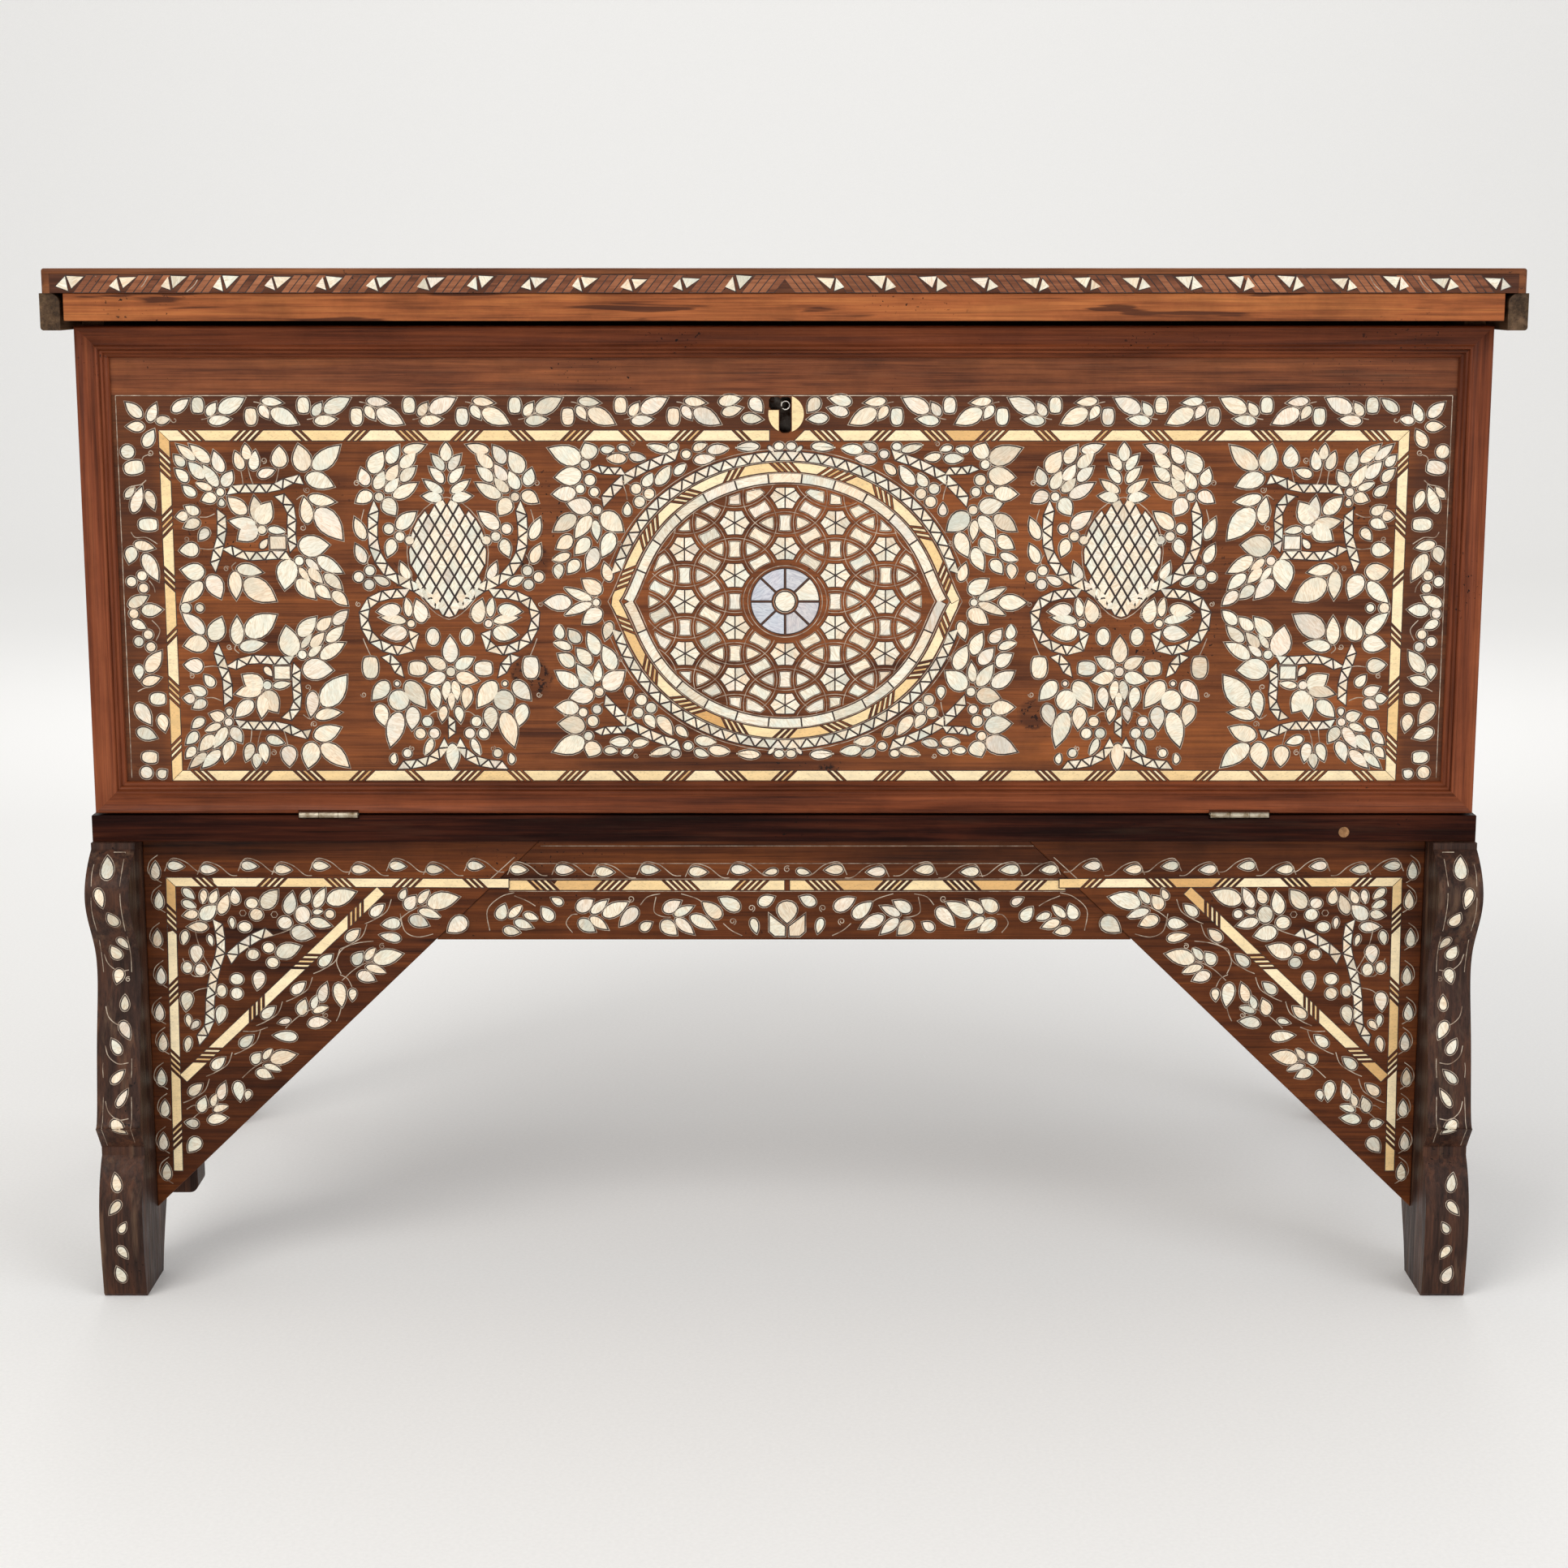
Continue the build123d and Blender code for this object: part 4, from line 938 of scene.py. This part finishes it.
def oval_hits(x, z, dx, dz, ovals, inside_of, margin):
    """How far a ray from a point runs before it meets any of the ovals' straps."""
    best = 1e9
    for (cx, cz, a, b), inside in zip(ovals, inside_of):
        grow = -margin if inside else margin
        ra, rb = a + grow, b + grow
        px, pz, vx, vz = (x - cx) / ra, (z - cz) / rb, dx / ra, dz / rb
        qa, qb, qc = vx * vx + vz * vz, 2 * (px * vx + pz * vz), px * px + pz * pz - 1
        root = qb * qb - 4 * qa * qc
        if root > 0:
            for sign in (-1, 1):
                t = (-qb + sign * math.sqrt(root)) / (2 * qa)
                if 1e-6 < t < best:
                    best = t
    return best


def draw_interlace(panel):
    """Overlapping ovals drawn as straps, with pearl filling every cell between them."""
    cx, cz = RING_MIDDLE
    pitch, column = 48.7, 46.6
    centres = [(cx + i * column, cz + (j + (i % 2) / 2) * pitch)
               for i in range(-4, 5) for j in range(-4, 5)]
    ovals = [(x, z, 39.0, 34.7) for x, z in centres]
    edge = (cx, cz, 129.5, 109.0)
    rosette = (cx, cz, 38.0, 36.0)

    def within(x, z, oval, slack=0.0):
        return ((x - oval[0]) / (oval[2] + slack)) ** 2 + ((z - oval[1]) / (oval[3] + slack)) ** 2 < 1

    def signature(x, z):
        return tuple(within(x, z, oval) for oval in ovals)

    seeds = [(x, z, True) for x, z in centres]
    for x, z in centres:
        seeds += [(x + i * column / 2, z + j * pitch / 2, False) for i, j in [(0, 1), (1, 0.5), (1, -0.5)]]
        seeds += [(x + column / 3, z + pitch / 2, False), (x + column * 2 / 3, z, False)]
    for x, z, star in seeds:
        mark = signature(x, z)
        moved = 0.0
        while not within(x, z, edge, -4) and moved < FARTHEST:
            away = math.hypot(x - cx, z - cz)
            x, z = x + (cx - x) / away, z + (cz - z) / away
            moved += 1.0
        lost = moved and (moved >= FARTHEST or signature(x, z) != mark)
        if lost or within(x, z, rosette):
            continue
        shape = []
        for angle in np.linspace(0, TAU, 48, endpoint=False):
            dx, dz = math.cos(angle), math.sin(angle)
            reach = oval_hits(x, z, dx, dz, ovals + [edge, rosette], list(mark) + [True, False], STRAP)
            shape.append((x + dx * reach, z + dz * reach))
        shape = ccw(shape)
        if abs(area(shape)) < SMALLEST:
            continue
        if star and not moved:
            for k in range(6):
                wedge = [(x, z)] + [shape[(4 + 8 * k + i) % 48] for i in range(9)]
                panel.piece(offset(ccw(wedge), -0.6), wire=False, mastic=0.7)
        else:
            panel.piece(shape, mastic=0.5)
    draw_straps(panel, ovals, edge, rosette, within)
    draw_rosette(panel, cx, cz)


def draw_straps(panel, ovals, edge, rosette, within):
    """A fine wire down the middle of each strap."""
    for x, z, a, b in ovals:
        run = []
        for angle in np.linspace(0, TAU, 73):
            px, pz = x + a * math.cos(angle), z + b * math.sin(angle)
            if within(px, pz, edge) and not within(px, pz, rosette):
                run.append((px, pz))
            else:
                if len(run) > 2:
                    panel.wire(run, 0.7, curve=False)
                run = []
        if len(run) > 2:
            panel.wire(run, 0.7, curve=False)


def draw_rosette(panel, x, z):
    """The medallion's middle: eight wedges, all but one of them bluish, round a disc."""
    panel.piece(disc(x, z, 9.6))
    for k in range(8):
        turn = np.linspace(k * TAU / 8, (k + 1) * TAU / 8, 7)
        outer = [(x + 32.5 * math.cos(t), z + 31.5 * math.sin(t)) for t in turn]
        inner = [(x + 11.5 * math.cos(t), z + 11.5 * math.sin(t)) for t in turn[::-1]]
        wedge = offset(ccw(outer + inner), -1.2)
        panel.piece(wedge, "pearl" if k == 0 else "pearl_blue", wire=False, mastic=1.0)
    turn = np.linspace(0, TAU, 65)
    panel.wire(np.stack([x + 34.6 * np.cos(turn), z + 33.4 * np.sin(turn)], 1), 0.9, curve=False)


def draw_sprig(panel, x, z, up):
    """Two large leaves and a small one from one stem, turned over where up is -1."""
    rows = [(-17, -5, -9, 7, 8), (-7, 0, 17, 12, 13), (-16, -9, 4, -7, 8.5)]
    panel.leaves([(x + x0, z + up * z0, x + x1, z + up * z1, width) for x0, z0, x1, z1, width in rows], 1.2)
    panel.wire([(x - 23, z - up * 8), (x - 18, z - up * 7), (x - 9, z - up * 3), (x, z + up * 2)])


def draw_border(panel):
    """The vine round the fall front: buds and sprigs in turn, flowers at the corners."""
    for k in range(10):
        x = -538 + 48.5 * k
        base, tip, up = (825, 841, -1) if k % 2 else (851, 836, 1)
        panel.piece(bud((x, base), (x, tip), 11.5))
        draw_sprig(panel, x + 26, 838.5, up)
    panel.leaves([
        (-60, 846, -39, 850, 11), (-57, 836, -38, 841, 10), (-30, 850, -20, 838, 10),
        (-38, 832, -20, 830.5, 8), (-590, 833, -604, 846, 9), (-583, 829, -576, 845, 8),
        (-577, 829, -564, 831, 7), (-588, 824, -604, 824, 8), (-588, 806, -579, 821, 9),
        (-561, 838, -546, 849, 8), (-601, 746, -592, 769, 9), (-588, 765, -582, 748, 8),
        (-607, 759, -598, 769, 6), (-601, 716, -583, 712, 8), (-603, 713, -607, 698, 10),
        (-594, 705, -582, 681, 11), (-609, 658, -591, 667, 9), (-597, 654, -578, 655, 10),
        (-607, 644, -593, 637, 9), (-595, 597, -581, 616, 11), (-602, 603, -602, 589, 8),
        (-599, 586, -582, 591, 8), (-605, 566, -593, 547, 11), (-583, 556, -580, 540, 9),
        (-606, 541, -588, 534, 10), (-588, 497, -580, 503, 8)], 1.25)
    panel.discs([
        (-604, 801, 6.5), (-605.5, 681, 4.8), (-595.5, 686.5, 4.8), (-594.5, 675, 4.6), (-604.5, 651, 4.6),
        (-592, 631.5, 4.6), (-601, 625, 4.7), (-590, 620, 4.7), (-599, 501, 6)])
    panel.leaves([
        (-608, 785, -590, 788, 13), (-597, 734, -579, 734, 12), (-593, 571, -578, 571, 12),
        (-603, 516, -588, 515, 11.5)], shape=bud)
    panel.wire([(-592, 790), (-590, 796), (-586, 798)])
    panel.spiral(-583, 800, 3.0, 3.6)
    panel.wires([
        (-588, 775, -593, 771, -603, 768, -609, 757), (-604, 727, -600, 722, -590, 722, -580, 716),
        (-589, 682, -585, 676, -584, 671), (-588, 645, -581, 636, -585, 626)])
    panel.spiral(-560, 830, 3.0, 3.0, 0.8)
    panel.wire([(-604, 578), (-598, 581), (-592, 582)])


def draw_flap():
    """Everything on the fall front."""
    panel = Inlay("flap", "flap_field_board", "fall_front", "field_walnut", 11)
    low, high = (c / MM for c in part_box("flap_field_board"))
    across, middle = low.x + high.x, 656.5
    right = (-1, across + 2, 1, 0.0)
    four = [AS_DRAWN, right, (1, 0.0, -1, 2 * middle), (-1, across + 2, -1, 2 * middle)]
    panel.mirrors = four
    draw_corner(panel)
    panel.mirrors = [AS_DRAWN, right]
    draw_vase(panel)
    draw_border(panel)
    panel.discs([(-556, 656.5, 5), (-543, 656.5, 4)])
    panel.piece(leaf((-198, 661.5), (-223, 661.5), 13), grows=1.2)
    panel.piece(disc(-174.5, 661.5, 3.6))
    panel.mirrors = [(sx, cx, sz, cz + (2 * 6 if sz < 0 else 0)) for sx, cx, sz, cz in four]
    draw_spandrel(panel)
    panel.mirrors = [AS_DRAWN]
    draw_rings(panel)
    draw_interlace(panel)
    draw_flap_band(panel)
    frame_line = [(low.x + 33, 496), (low.x + 33, 852.2), (high.x - 33, 852.2), (high.x - 33, 496)]
    for a, b in zip(frame_line[:3], frame_line[1:]):
        panel.walls.append(np.array([a, b], float))
    plate = [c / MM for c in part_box("keyhole_escutcheon")]
    panel.walls.append(disc((plate[0].x + plate[1].x) / 2, (plate[0].z + plate[1].z) / 2, 16))
    for first, width in enumerate([0.9, 1.0, 0.9]):
        panel.wire(frame_line[first:first + 2], width, curve=False)
    panel.finish()


def draw_flap_band(panel):
    """The bone band round the middle of the fall front, broken at the keyhole."""
    side, top, bottom = 570.0, 815.8, 498.0
    groups = [2, 3, 1, 2, 3, 3, 2, 3]
    left, right = (corner.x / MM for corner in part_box("keyhole_escutcheon"))
    for start, end, order, mitre in [((-side, top), (left + 1, top), groups, (-1, 0)),
                                     ((right - 4, top), (side, top), groups[::-1], (1, 1)),
                                     ((side, top), (side, bottom), groups, (-1, 1)),
                                     ((side, bottom), (-side, bottom), groups, (-1, 1)),
                                     ((-side, bottom), (-side, top), groups, (-1, 1))]:
        panel.band(Path([start, end]), 9.6, 49, order, mitre)


OPEN_SPRIG = [
    (-11, 1, -2, 14, 11), (1, 6, 12, 19, 7.5), (9, 4, 39, 11, 15), (1, -1, 22, -8, 8),
    (-7, -8, 11, -15, 11)]
TIGHT_SPRIG = [
    (-9, -3, -4, 13, 10), (3, 3, 8, 17, 7.5), (11, 10, 17, 29, 10), (3, 0, 19, 5, 7), (-2, -12, 18, -9, 10)]


def draw_five_leaves(panel, x, z, scale, sprig):
    """A sprig of five leaves that opens to the right and upward."""
    for x0, z0, x1, z1, width in sprig:
        base, tip = (x + x0 * scale, z + z0 * scale), (x + x1 * scale, z + z1 * scale)
        panel.piece(leaf(base, tip, width * scale, 0.6), grows=1.15)
    start, bend = (x - 24 * scale, z - 16 * scale), (x - 12 * scale, z - 5 * scale)
    panel.wire([start, bend, (x, z + 2), (x + 8, z + 4)])


def draw_bracket(side):
    """One shaped bracket; the drawing is the left one, and the right one mirrors it."""
    sign = -1 if side == "left" else 1
    panel = Inlay(side + "_bracket", side + "_bracket", "case", "field_walnut", 21 + sign)
    panel.mirrors = [(-sign, 0.0, 1, 0.0)]
    panel.band(Path([(-583.5, 392.8), (-262, 391.5)]), 8.6, 60, [2, 3, 3, 3], (-1, 0))
    panel.band(Path([(-587.5, 106), (-583.5, 392.8)]), 8.8, 66, [3], (0, 1))
    panel.band(Path([(-579, 199), (-384, 384.5)]), 9.6, 66, [3])
    for i, x in enumerate([-578, -547, -508, -476, -440, -403, -367, -332, -293, -252]):
        z = 408.5 if i % 2 == 0 else 405
        panel.piece(drop((x - 8, z + 0.6), (x + 8, z - 0.6), 9))
        panel.wire([(x - 11, z - 5), (x - 4, z + 7), (x + 9, z + 4), (x + 20, z - 5), (x + 27, z - 6)])
    for i, z in enumerate([404, 375, 338, 301, 265, 235, 200, 169, 135.5, 105]):
        x = -597 - 0.012 * (404 - z) + (1.5 if i % 2 else -1)
        panel.piece(drop((x, z - 8.5), (x + 0.6, z + 8.5), 9.2))
        panel.wire([(x + 6, z - 12), (x - 6, z - 3), (x - 5, z + 8), (x + 3, z + 15)])
    draw_triangle(panel)
    draw_outer_slope(panel)
    panel.finish()


def draw_triangle(panel):
    """Flowers, berries and a zigzag stem inside the bracket's bone triangle."""
    panel.leaves([
        (-572, 386, -561, 376, 7), (-552, 385, -554, 371, 6.5), (-546, 372, -540, 385, 7.5),
        (-573, 373, -560, 367, 7), (-559, 362, -573, 360, 8), (-556, 357, -541, 370, 12),
        (-537, 362, -529, 381, 10), (-550, 349, -569, 349, 8.5), (-527, 358, -526, 347, 5),
        (-497, 368, -482, 385, 13), (-473, 362, -468, 383, 11), (-458, 372, -452, 386, 9),
        (-447, 368, -437, 387, 9), (-435, 374, -408, 383, 14), (-449, 363, -439, 364.5, 5),
        (-452, 355, -432, 350, 9), (-470, 345, -449, 340, 13), (-485, 322, -462, 330, 13),
        (-571, 345, -574, 331, 7), (-549, 341, -546, 330, 5), (-571, 262, -570, 250, 5.5),
        (-572, 240, -575, 225, 6.5), (-562, 256, -570, 248, 6)], 1.2)
    panel.leaves([
        (-522, 371, -524, 386, 10), (-561, 331, -563, 313, 12.5), (-501, 305, -505, 287, 12),
        (-571.5, 285, -574, 266, 12), (-538.5, 271, -543, 253, 11)], shape=drop)
    panel.discs([
        (-507, 372, 6, 5.2), (-503, 361, 6.4, 5.8), (-514.5, 349, 6.4, 5), (-476, 353, 7, 6.2),
        (-459, 361, 7.4, 8.4), (-433, 361.5, 4.6, 4.4), (-492.5, 328.5, 5.8, 5.2), (-507.5, 322, 5.8, 5.2),
        (-489, 314, 5.8, 5.2), (-539, 286, 4.8, 6.2), (-524, 297.5, 6.4, 5.6), (-524.5, 283.5, 5.8, 5.8),
        (-571, 309, 5, 5.8), (-558.5, 307, 5.4, 6.2)])
    for x, z in [(-516, 362.5), (-486, 361)]:
        panel.hexagon(x, z, 3.2)
    panel.zigzag([
        -541, 358, -539, 346, -538, 336, -538, 325, -543, 311, -547, 296, -550, 281, -551, 265, -552, 252,
        -559, 242, -566, 234], 8.5)
    panel.zigzag([-533, 314, -528, 322, -518, 330, -508, 337, -498, 342.5, -487, 345], 9)
    panel.wires([
        (-497, 338, -480, 343, -470, 347), (-545, 302, -556, 322, -562, 345, -560, 356),
        (-548, 290, -562, 287, -568, 283), (-549, 276, -545, 282, -541, 284),
        (-513, 331, -511, 327, -508, 325), (-575, 318, -566, 301, -552, 303, -544, 312)])


def draw_outer_slope(panel):
    """Drops along the slanted bone band and five-leaf sprigs on the bracket's free edge."""
    for x, z in [(-568, 187.5), (-545, 214), (-517, 236), (-495, 264.5), (-465.5, 288.5), (-438.5, 316),
                 (-412, 340.5), (-388, 365)]:
        panel.piece(drop((x - 6, z - 5), (x + 7, z + 6), 10))
        panel.wire([(x - 12, z - 13), (x - 3, z - 9), (x + 9, z - 1), (x + 14, z + 11)])
    for row in [(-349, 366, 1.0, OPEN_SPRIG), (-401, 311, 0.93, OPEN_SPRIG), (-502, 213, 0.84, OPEN_SPRIG),
                (-455, 265, 1.0, TIGHT_SPRIG), (-555, 168, 0.95, TIGHT_SPRIG)]:
        draw_five_leaves(panel, *row)
    panel.leaves([
        (-366, 353, -384, 351, 11), (-366, 337, -386, 341, 9), (-427, 294, -424, 270, 12.5),
        (-413, 288, -414, 276, 8), (-468, 240, -491, 242, 10.5), (-527, 196, -525, 176, 11),
        (-516, 187, -519, 177, 7), (-566, 153, -579, 155, 9), (-566, 139, -577, 125, 13),
        (-303, 357, -321, 344, 16), (-365, 376, -360, 386, 7), (-474, 257, -486, 254, 6)], shape=drop)
    panel.wires([
        (-424, 303, -428, 315, -422, 327, -408, 333, -392, 335), (-425, 302, -418, 298, -414, 290),
        (-425, 269, -427, 262, -430, 256), (-366, 362, -362, 345, -350, 339, -335, 342),
        (-520, 246, -508, 246, -496, 250), (-280, 395, -268, 406, -256, 417),
        (-577, 168, -570, 172, -562, 170)])
    panel.spirals([(-384, 330, 3.0, 1.0), (-440, 262, 3.0, 2.0), (-486, 214, 3.0, 2.0)])


def draw_apron():
    """A band with drops above it and flowers below it, mirrored about the apron's middle."""
    panel = Inlay("apron", "apron_board", "case", "field_walnut", 31)
    middle = 3.0
    panel.mirrors = [AS_DRAWN, (-1, 2 * middle, 1, 0.0)]
    panel.band(Path([(-262, 389.3), (middle - 2.6, 389.3)]), 9.6, 64, [3, 4, 4, 4])
    for i, x in enumerate([-209, -171, -128, -82, -42]):
        z = 404.5 if i % 2 == 0 else 402.5
        panel.piece(drop((x - 8.5, z + 0.5), (x + 9.5, z - 0.5), 9.6))
        panel.wire([(x - 12, z - 5), (x - 5, z + 7), (x + 9, z + 5), (x + 22, z - 5), (x + 30, z - 6)])
    panel.piece(drop((-6, 403.5), (-19, 401), 6.5))
    for x, z, width in [(-231, 427.5, 0.8), (-246, 410.5, 0.6), (-262, 395.4, 0.6), (-262, 383.3, 0.6)]:
        panel.wire([(x, z), (-120, z), (middle, z)], width, curve=False)
    panel.leaves([
        (-263, 358, -250, 370, 7.5), (-248, 361, -234, 356, 7), (-257, 354, -240, 348, 8.5),
        (-197, 364, -181, 374, 12), (-184, 362, -168, 375, 9.5), (-173, 360, -149, 373, 12),
        (-196, 355, -180, 344, 12), (-185, 358, -168, 346, 9.5), (-137, 346, -126, 353, 8.5),
        (-115, 364, -98, 374, 12), (-105, 360, -86, 369, 9), (-115, 355, -101, 342, 12.5),
        (-104, 358, -87, 343, 9.5), (-89, 359, -66, 347, 11), (-24, 371, -9, 378, 10)], 1.15)
    panel.leaves([
        (-272, 356, -266, 371, 11.5), (-268, 346, -252, 343, 9), (-221, 355, -231, 368, 11.5),
        (-211, 371, -222, 377, 7.5), (-140, 367, -157, 349, 13), (-60, 358, -78, 373, 13),
        (-42, 366, -62, 377, 13), (-30, 357, -26, 342, 8)], shape=drop)
    panel.piece([(-14, 361), (-14, 344), (-9, 339.5), (1, 339.5), (1.4, 349)])
    for x, z, turn in [(-49, 354, 1), (-31, 367, 1), (-146, 376, 2)]:
        panel.spiral(x, z, 3.6, 5.0 * turn)
    panel.wires([
        (-281, 345, -283, 365, -270, 378, -257, 382), (-257, 379, -245, 374, -237, 369),
        (-202, 343, -208, 352, -203, 360, -197, 361), (-137, 370, -130, 378, -118, 381),
        (-98, 381, -85, 377, -78, 373), (-58, 352, -50, 345, -40, 340),
        (-122, 378, -124, 364, -117, 359, -108, 358)])
    panel.mirrors = [AS_DRAWN]
    panel.piece(drop((middle, 374), (middle, 352), 19.5))
    panel.spiral(middle, 405, 3.4, 1.0)
    panel.finish()


def draw_leg(side):
    """The leg's curved front: drops down its middle with wires beside them."""
    sign = -1 if side == "left" else 1
    node = "front_" + side + "_leg"
    panel = Inlay(side + "_leg", node, "case", "dark_walnut", 41 + sign, curved=True)
    low, high = (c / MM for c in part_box(node))
    outer = -low.x if side == "left" else high.x
    panel.mirrors = [(-sign, 0.0, 1, 0.0)]
    for across, z, dx, dz, width in [
            (18, 417, -2, 9, 12), (13, 391, 2, -9, 9), (22, 369, -3, 7, 11), (27, 342, 4, -6, 8),
            (18, 332, -3, 7, 11), (19, 308, -2, -7, 10), (25, 283, 0, 7, 8), (26, 258, 4, -8, 10),
            (17, 243, -4, 7, 9), (19, 215, 6, 6, 8), (23, 195, 5, 8, 7), (20, 168, 7, -6, 10),
            (15, 113, -2, 8, 9), (14, 90, -5, -6, 8), (21, 71, 3, 5, 7), (20, 46, 4, -6, 8),
            (16, 23, -3, 8, 10)]:
        x = -outer + across + 1.0
        panel.piece(drop((x - dx, z - dz), (x + dx, z + dz), width))
    for z0, z1 in [(424, 402), (396, 356), (350, 312), (232, 214), (150, 196)]:
        panel.wire([(-outer + 33, z0), (-outer + 33, (z0 + z1) / 2), (-outer + 32.5, z1)], 0.8)
        panel.wire([(-outer + 6, z0 - 4), (-outer + 5.5, (z0 + z1) / 2), (-outer + 6, z1)], 0.7)
    panel.wire([(-outer + 22, 429), (-outer + 33, 429), (-outer + 33, 418)], 0.9, curve=False)
    for z in (318, 268, 232, 180):
        panel.wire([(-outer + 8, z + 12), (-outer + 11, z + 2), (-outer + 20, z - 5), (-outer + 30, z - 4)])
    panel.spiral(-outer + 29, 305, 2.6, 1.0)
    panel.finish()


def draw_lid_band():
    """Parquetry on the lid's front edge: slanted walnut slats and pairs of pearl triangles."""
    low, high = (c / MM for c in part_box("lid_front_band"))
    panel = Inlay("lid_band", "lid_front_band", "lid", "lid_walnut", 51)
    base, across, pitch = low.z + 1.2, low.x + high.x, 46.0
    count = int((across / 2 - low.x) / pitch)
    for mirror in [AS_DRAWN, (-1, across, 1, 0.0)]:
        panel.mirrors = [mirror]
        for k in range(count + 1):
            x = low.x + 7 + k * pitch + panel.random.uniform(-1.4, 1.4)
            for j in range(4):
                a = x + 15 + 7.4 * j
                if a > across / 2 - 1:
                    break
                kind = panel.random.choice(["parquet", "parquet", "parquet_dark"])
                slat = [(a + u, base + v) for u, v in ((0, -0.6), (6.7, -0.6), (19, 14.8), (12.3, 14.8))]
                panel.piece(slat, kind, top=0.16, wire=False, mastic=0.3)
            if x + 26 > across / 2:
                continue
            tall = panel.random.uniform(0.8, 0.98)
            for shape in ([(0, 4.6), (9.5, 0.6), (7.3, 13.4)], [(9.4, 14), (24.5, 13.6), (12.6, 2.8)]):
                uneven = [(x + u + panel.random.uniform(-0.9, 0.9),
                           base + 0.6 + v * tall + panel.random.uniform(-0.7, 0.7)) for u, v in shape]
                panel.piece(uneven, wire=False, mastic=0.7)
            if k < 3:
                panel.wire([(x + 24, base), (x + 31, base + 6), (x + 36, base + 14)])
    panel.finish()


# ---------------------------------------------------------------- the room
def make_floor():
    """A wide floor that curves up into the backdrop behind the chest."""
    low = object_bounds()[0]
    data = bpy.data.meshes.new("floor")
    far, tall = 30.0, 14.0
    start, radius, steps = 6.0, 3.0, 16
    line = [(-far, low.z), (start, low.z)]
    line += [(start + radius * math.sin(t), low.z + radius * (1 - math.cos(t)))
             for t in np.linspace(0, math.pi / 2, steps)[1:]]
    line.append((start + radius, tall))
    verts = [(x, y, z) for y, z in line for x in (-far, far)]
    faces = [(2 * i, 2 * i + 1, 2 * i + 3, 2 * i + 2) for i in range(len(line) - 1)]
    data.from_pydata(verts, [], faces)
    data.shade_smooth()
    data.materials.append(ground("floor"))
    floor = bpy.data.objects.new("floor", data)
    bpy.context.scene.collection.objects.link(floor)


def make_light(name, place, aim, size, power, colour=(1, 1, 1)):
    data = bpy.data.lights.new(name, "AREA")
    data.shape = "RECTANGLE"
    data.size, data.size_y = size
    data.energy = power
    data.color = colour
    light = bpy.data.objects.new(name, data)
    light.location = place
    light.rotation_euler = (Vector(aim) - Vector(place)).to_track_quat("-Z", "Y").to_euler()
    bpy.context.scene.collection.objects.link(light)


def make_room():
    """Soft white surroundings like the photograph's."""
    bpy.context.scene.view_settings.view_transform = "Standard"
    world = bpy.data.worlds.new("studio")
    world.use_nodes = True
    world.node_tree.nodes["Background"].inputs["Color"].default_value = (1, 1, 1, 1)
    world.node_tree.nodes["Background"].inputs["Strength"].default_value = 0.6
    bpy.context.scene.world = world
    make_light("key", (-2.2, -3.2, 3.4), (0, 0, 0.6), (2.4, 2.4), 82, (1.0, 0.98, 0.95))
    make_light("fill", (2.8, -3.0, 2.2), (0, 0, 0.5), (2.6, 2.6), 46, (0.95, 0.97, 1.0))
    make_light("low", (0, -3.6, 0.5), (0, 0, 0.5), (3.0, 0.8), 12)
    make_light("backdrop", (0, 3.0, 4.0), (0, 9, 2.5), (8.0, 3.0), 110)
    make_light("back", (0, 3.2, 2.6), (0, 0, 0.6), (3.0, 2.0), 40)


def make_camera():
    """The photograph's viewpoint: 2.5 m in front of the chest, looking 10.5 degrees down."""
    data = bpy.data.cameras.new("camera")
    data.sensor_width = 36.0
    data.lens = 64.0
    camera = bpy.data.objects.new("camera", data)
    camera.location = (0.0, -2.83045, 0.9687)
    camera.rotation_euler = (math.radians(79.48), 0.0, 0.0)
    bpy.context.scene.collection.objects.link(camera)
    bpy.context.scene.camera = camera


def make_key_wire():
    """The bright bent end of the lock's key post, seen in the keyhole."""
    low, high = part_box("lock_key_post")
    thick = 0.0007  # radius of the wire, in metres
    middle, radius = (low + high) / 2, (high.x - low.x) / 2 - thick
    verts, faces = [], []
    arc = np.linspace(math.radians(200), math.radians(-140), 22)
    for t in arc:
        for turn in np.linspace(0, TAU, 8, endpoint=False):
            reach = radius + thick * math.cos(turn)
            verts.append((middle.x + reach * math.cos(t), low.y - 0.0004 + thick * math.sin(turn),
                          middle.z + reach * math.sin(t)))
    for i in range(len(arc) - 1):
        for j in range(8):
            faces.append((8 * i + j, 8 * i + (j + 1) % 8, 8 * i + 8 + (j + 1) % 8, 8 * i + 8 + j))
    faces += [tuple(range(8)), tuple(range(8 * len(arc) - 1, 8 * len(arc) - 9, -1))]
    data = bpy.data.meshes.new("key_post_rim")
    data.from_pydata(verts, [], faces)
    data.shade_smooth()
    data.materials.append(MATERIALS["bright_steel"])
    rim = bpy.data.objects.new("key_post_rim", data)
    bpy.context.scene.collection.objects.link(rim)
    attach(rim, "fall_front")


dress_nodes()
make_key_wire()
draw_flap()
for side in ("left", "right"):
    draw_bracket(side)
    draw_leg(side)
draw_apron()
draw_lid_band()
make_floor()
make_room()
make_camera()
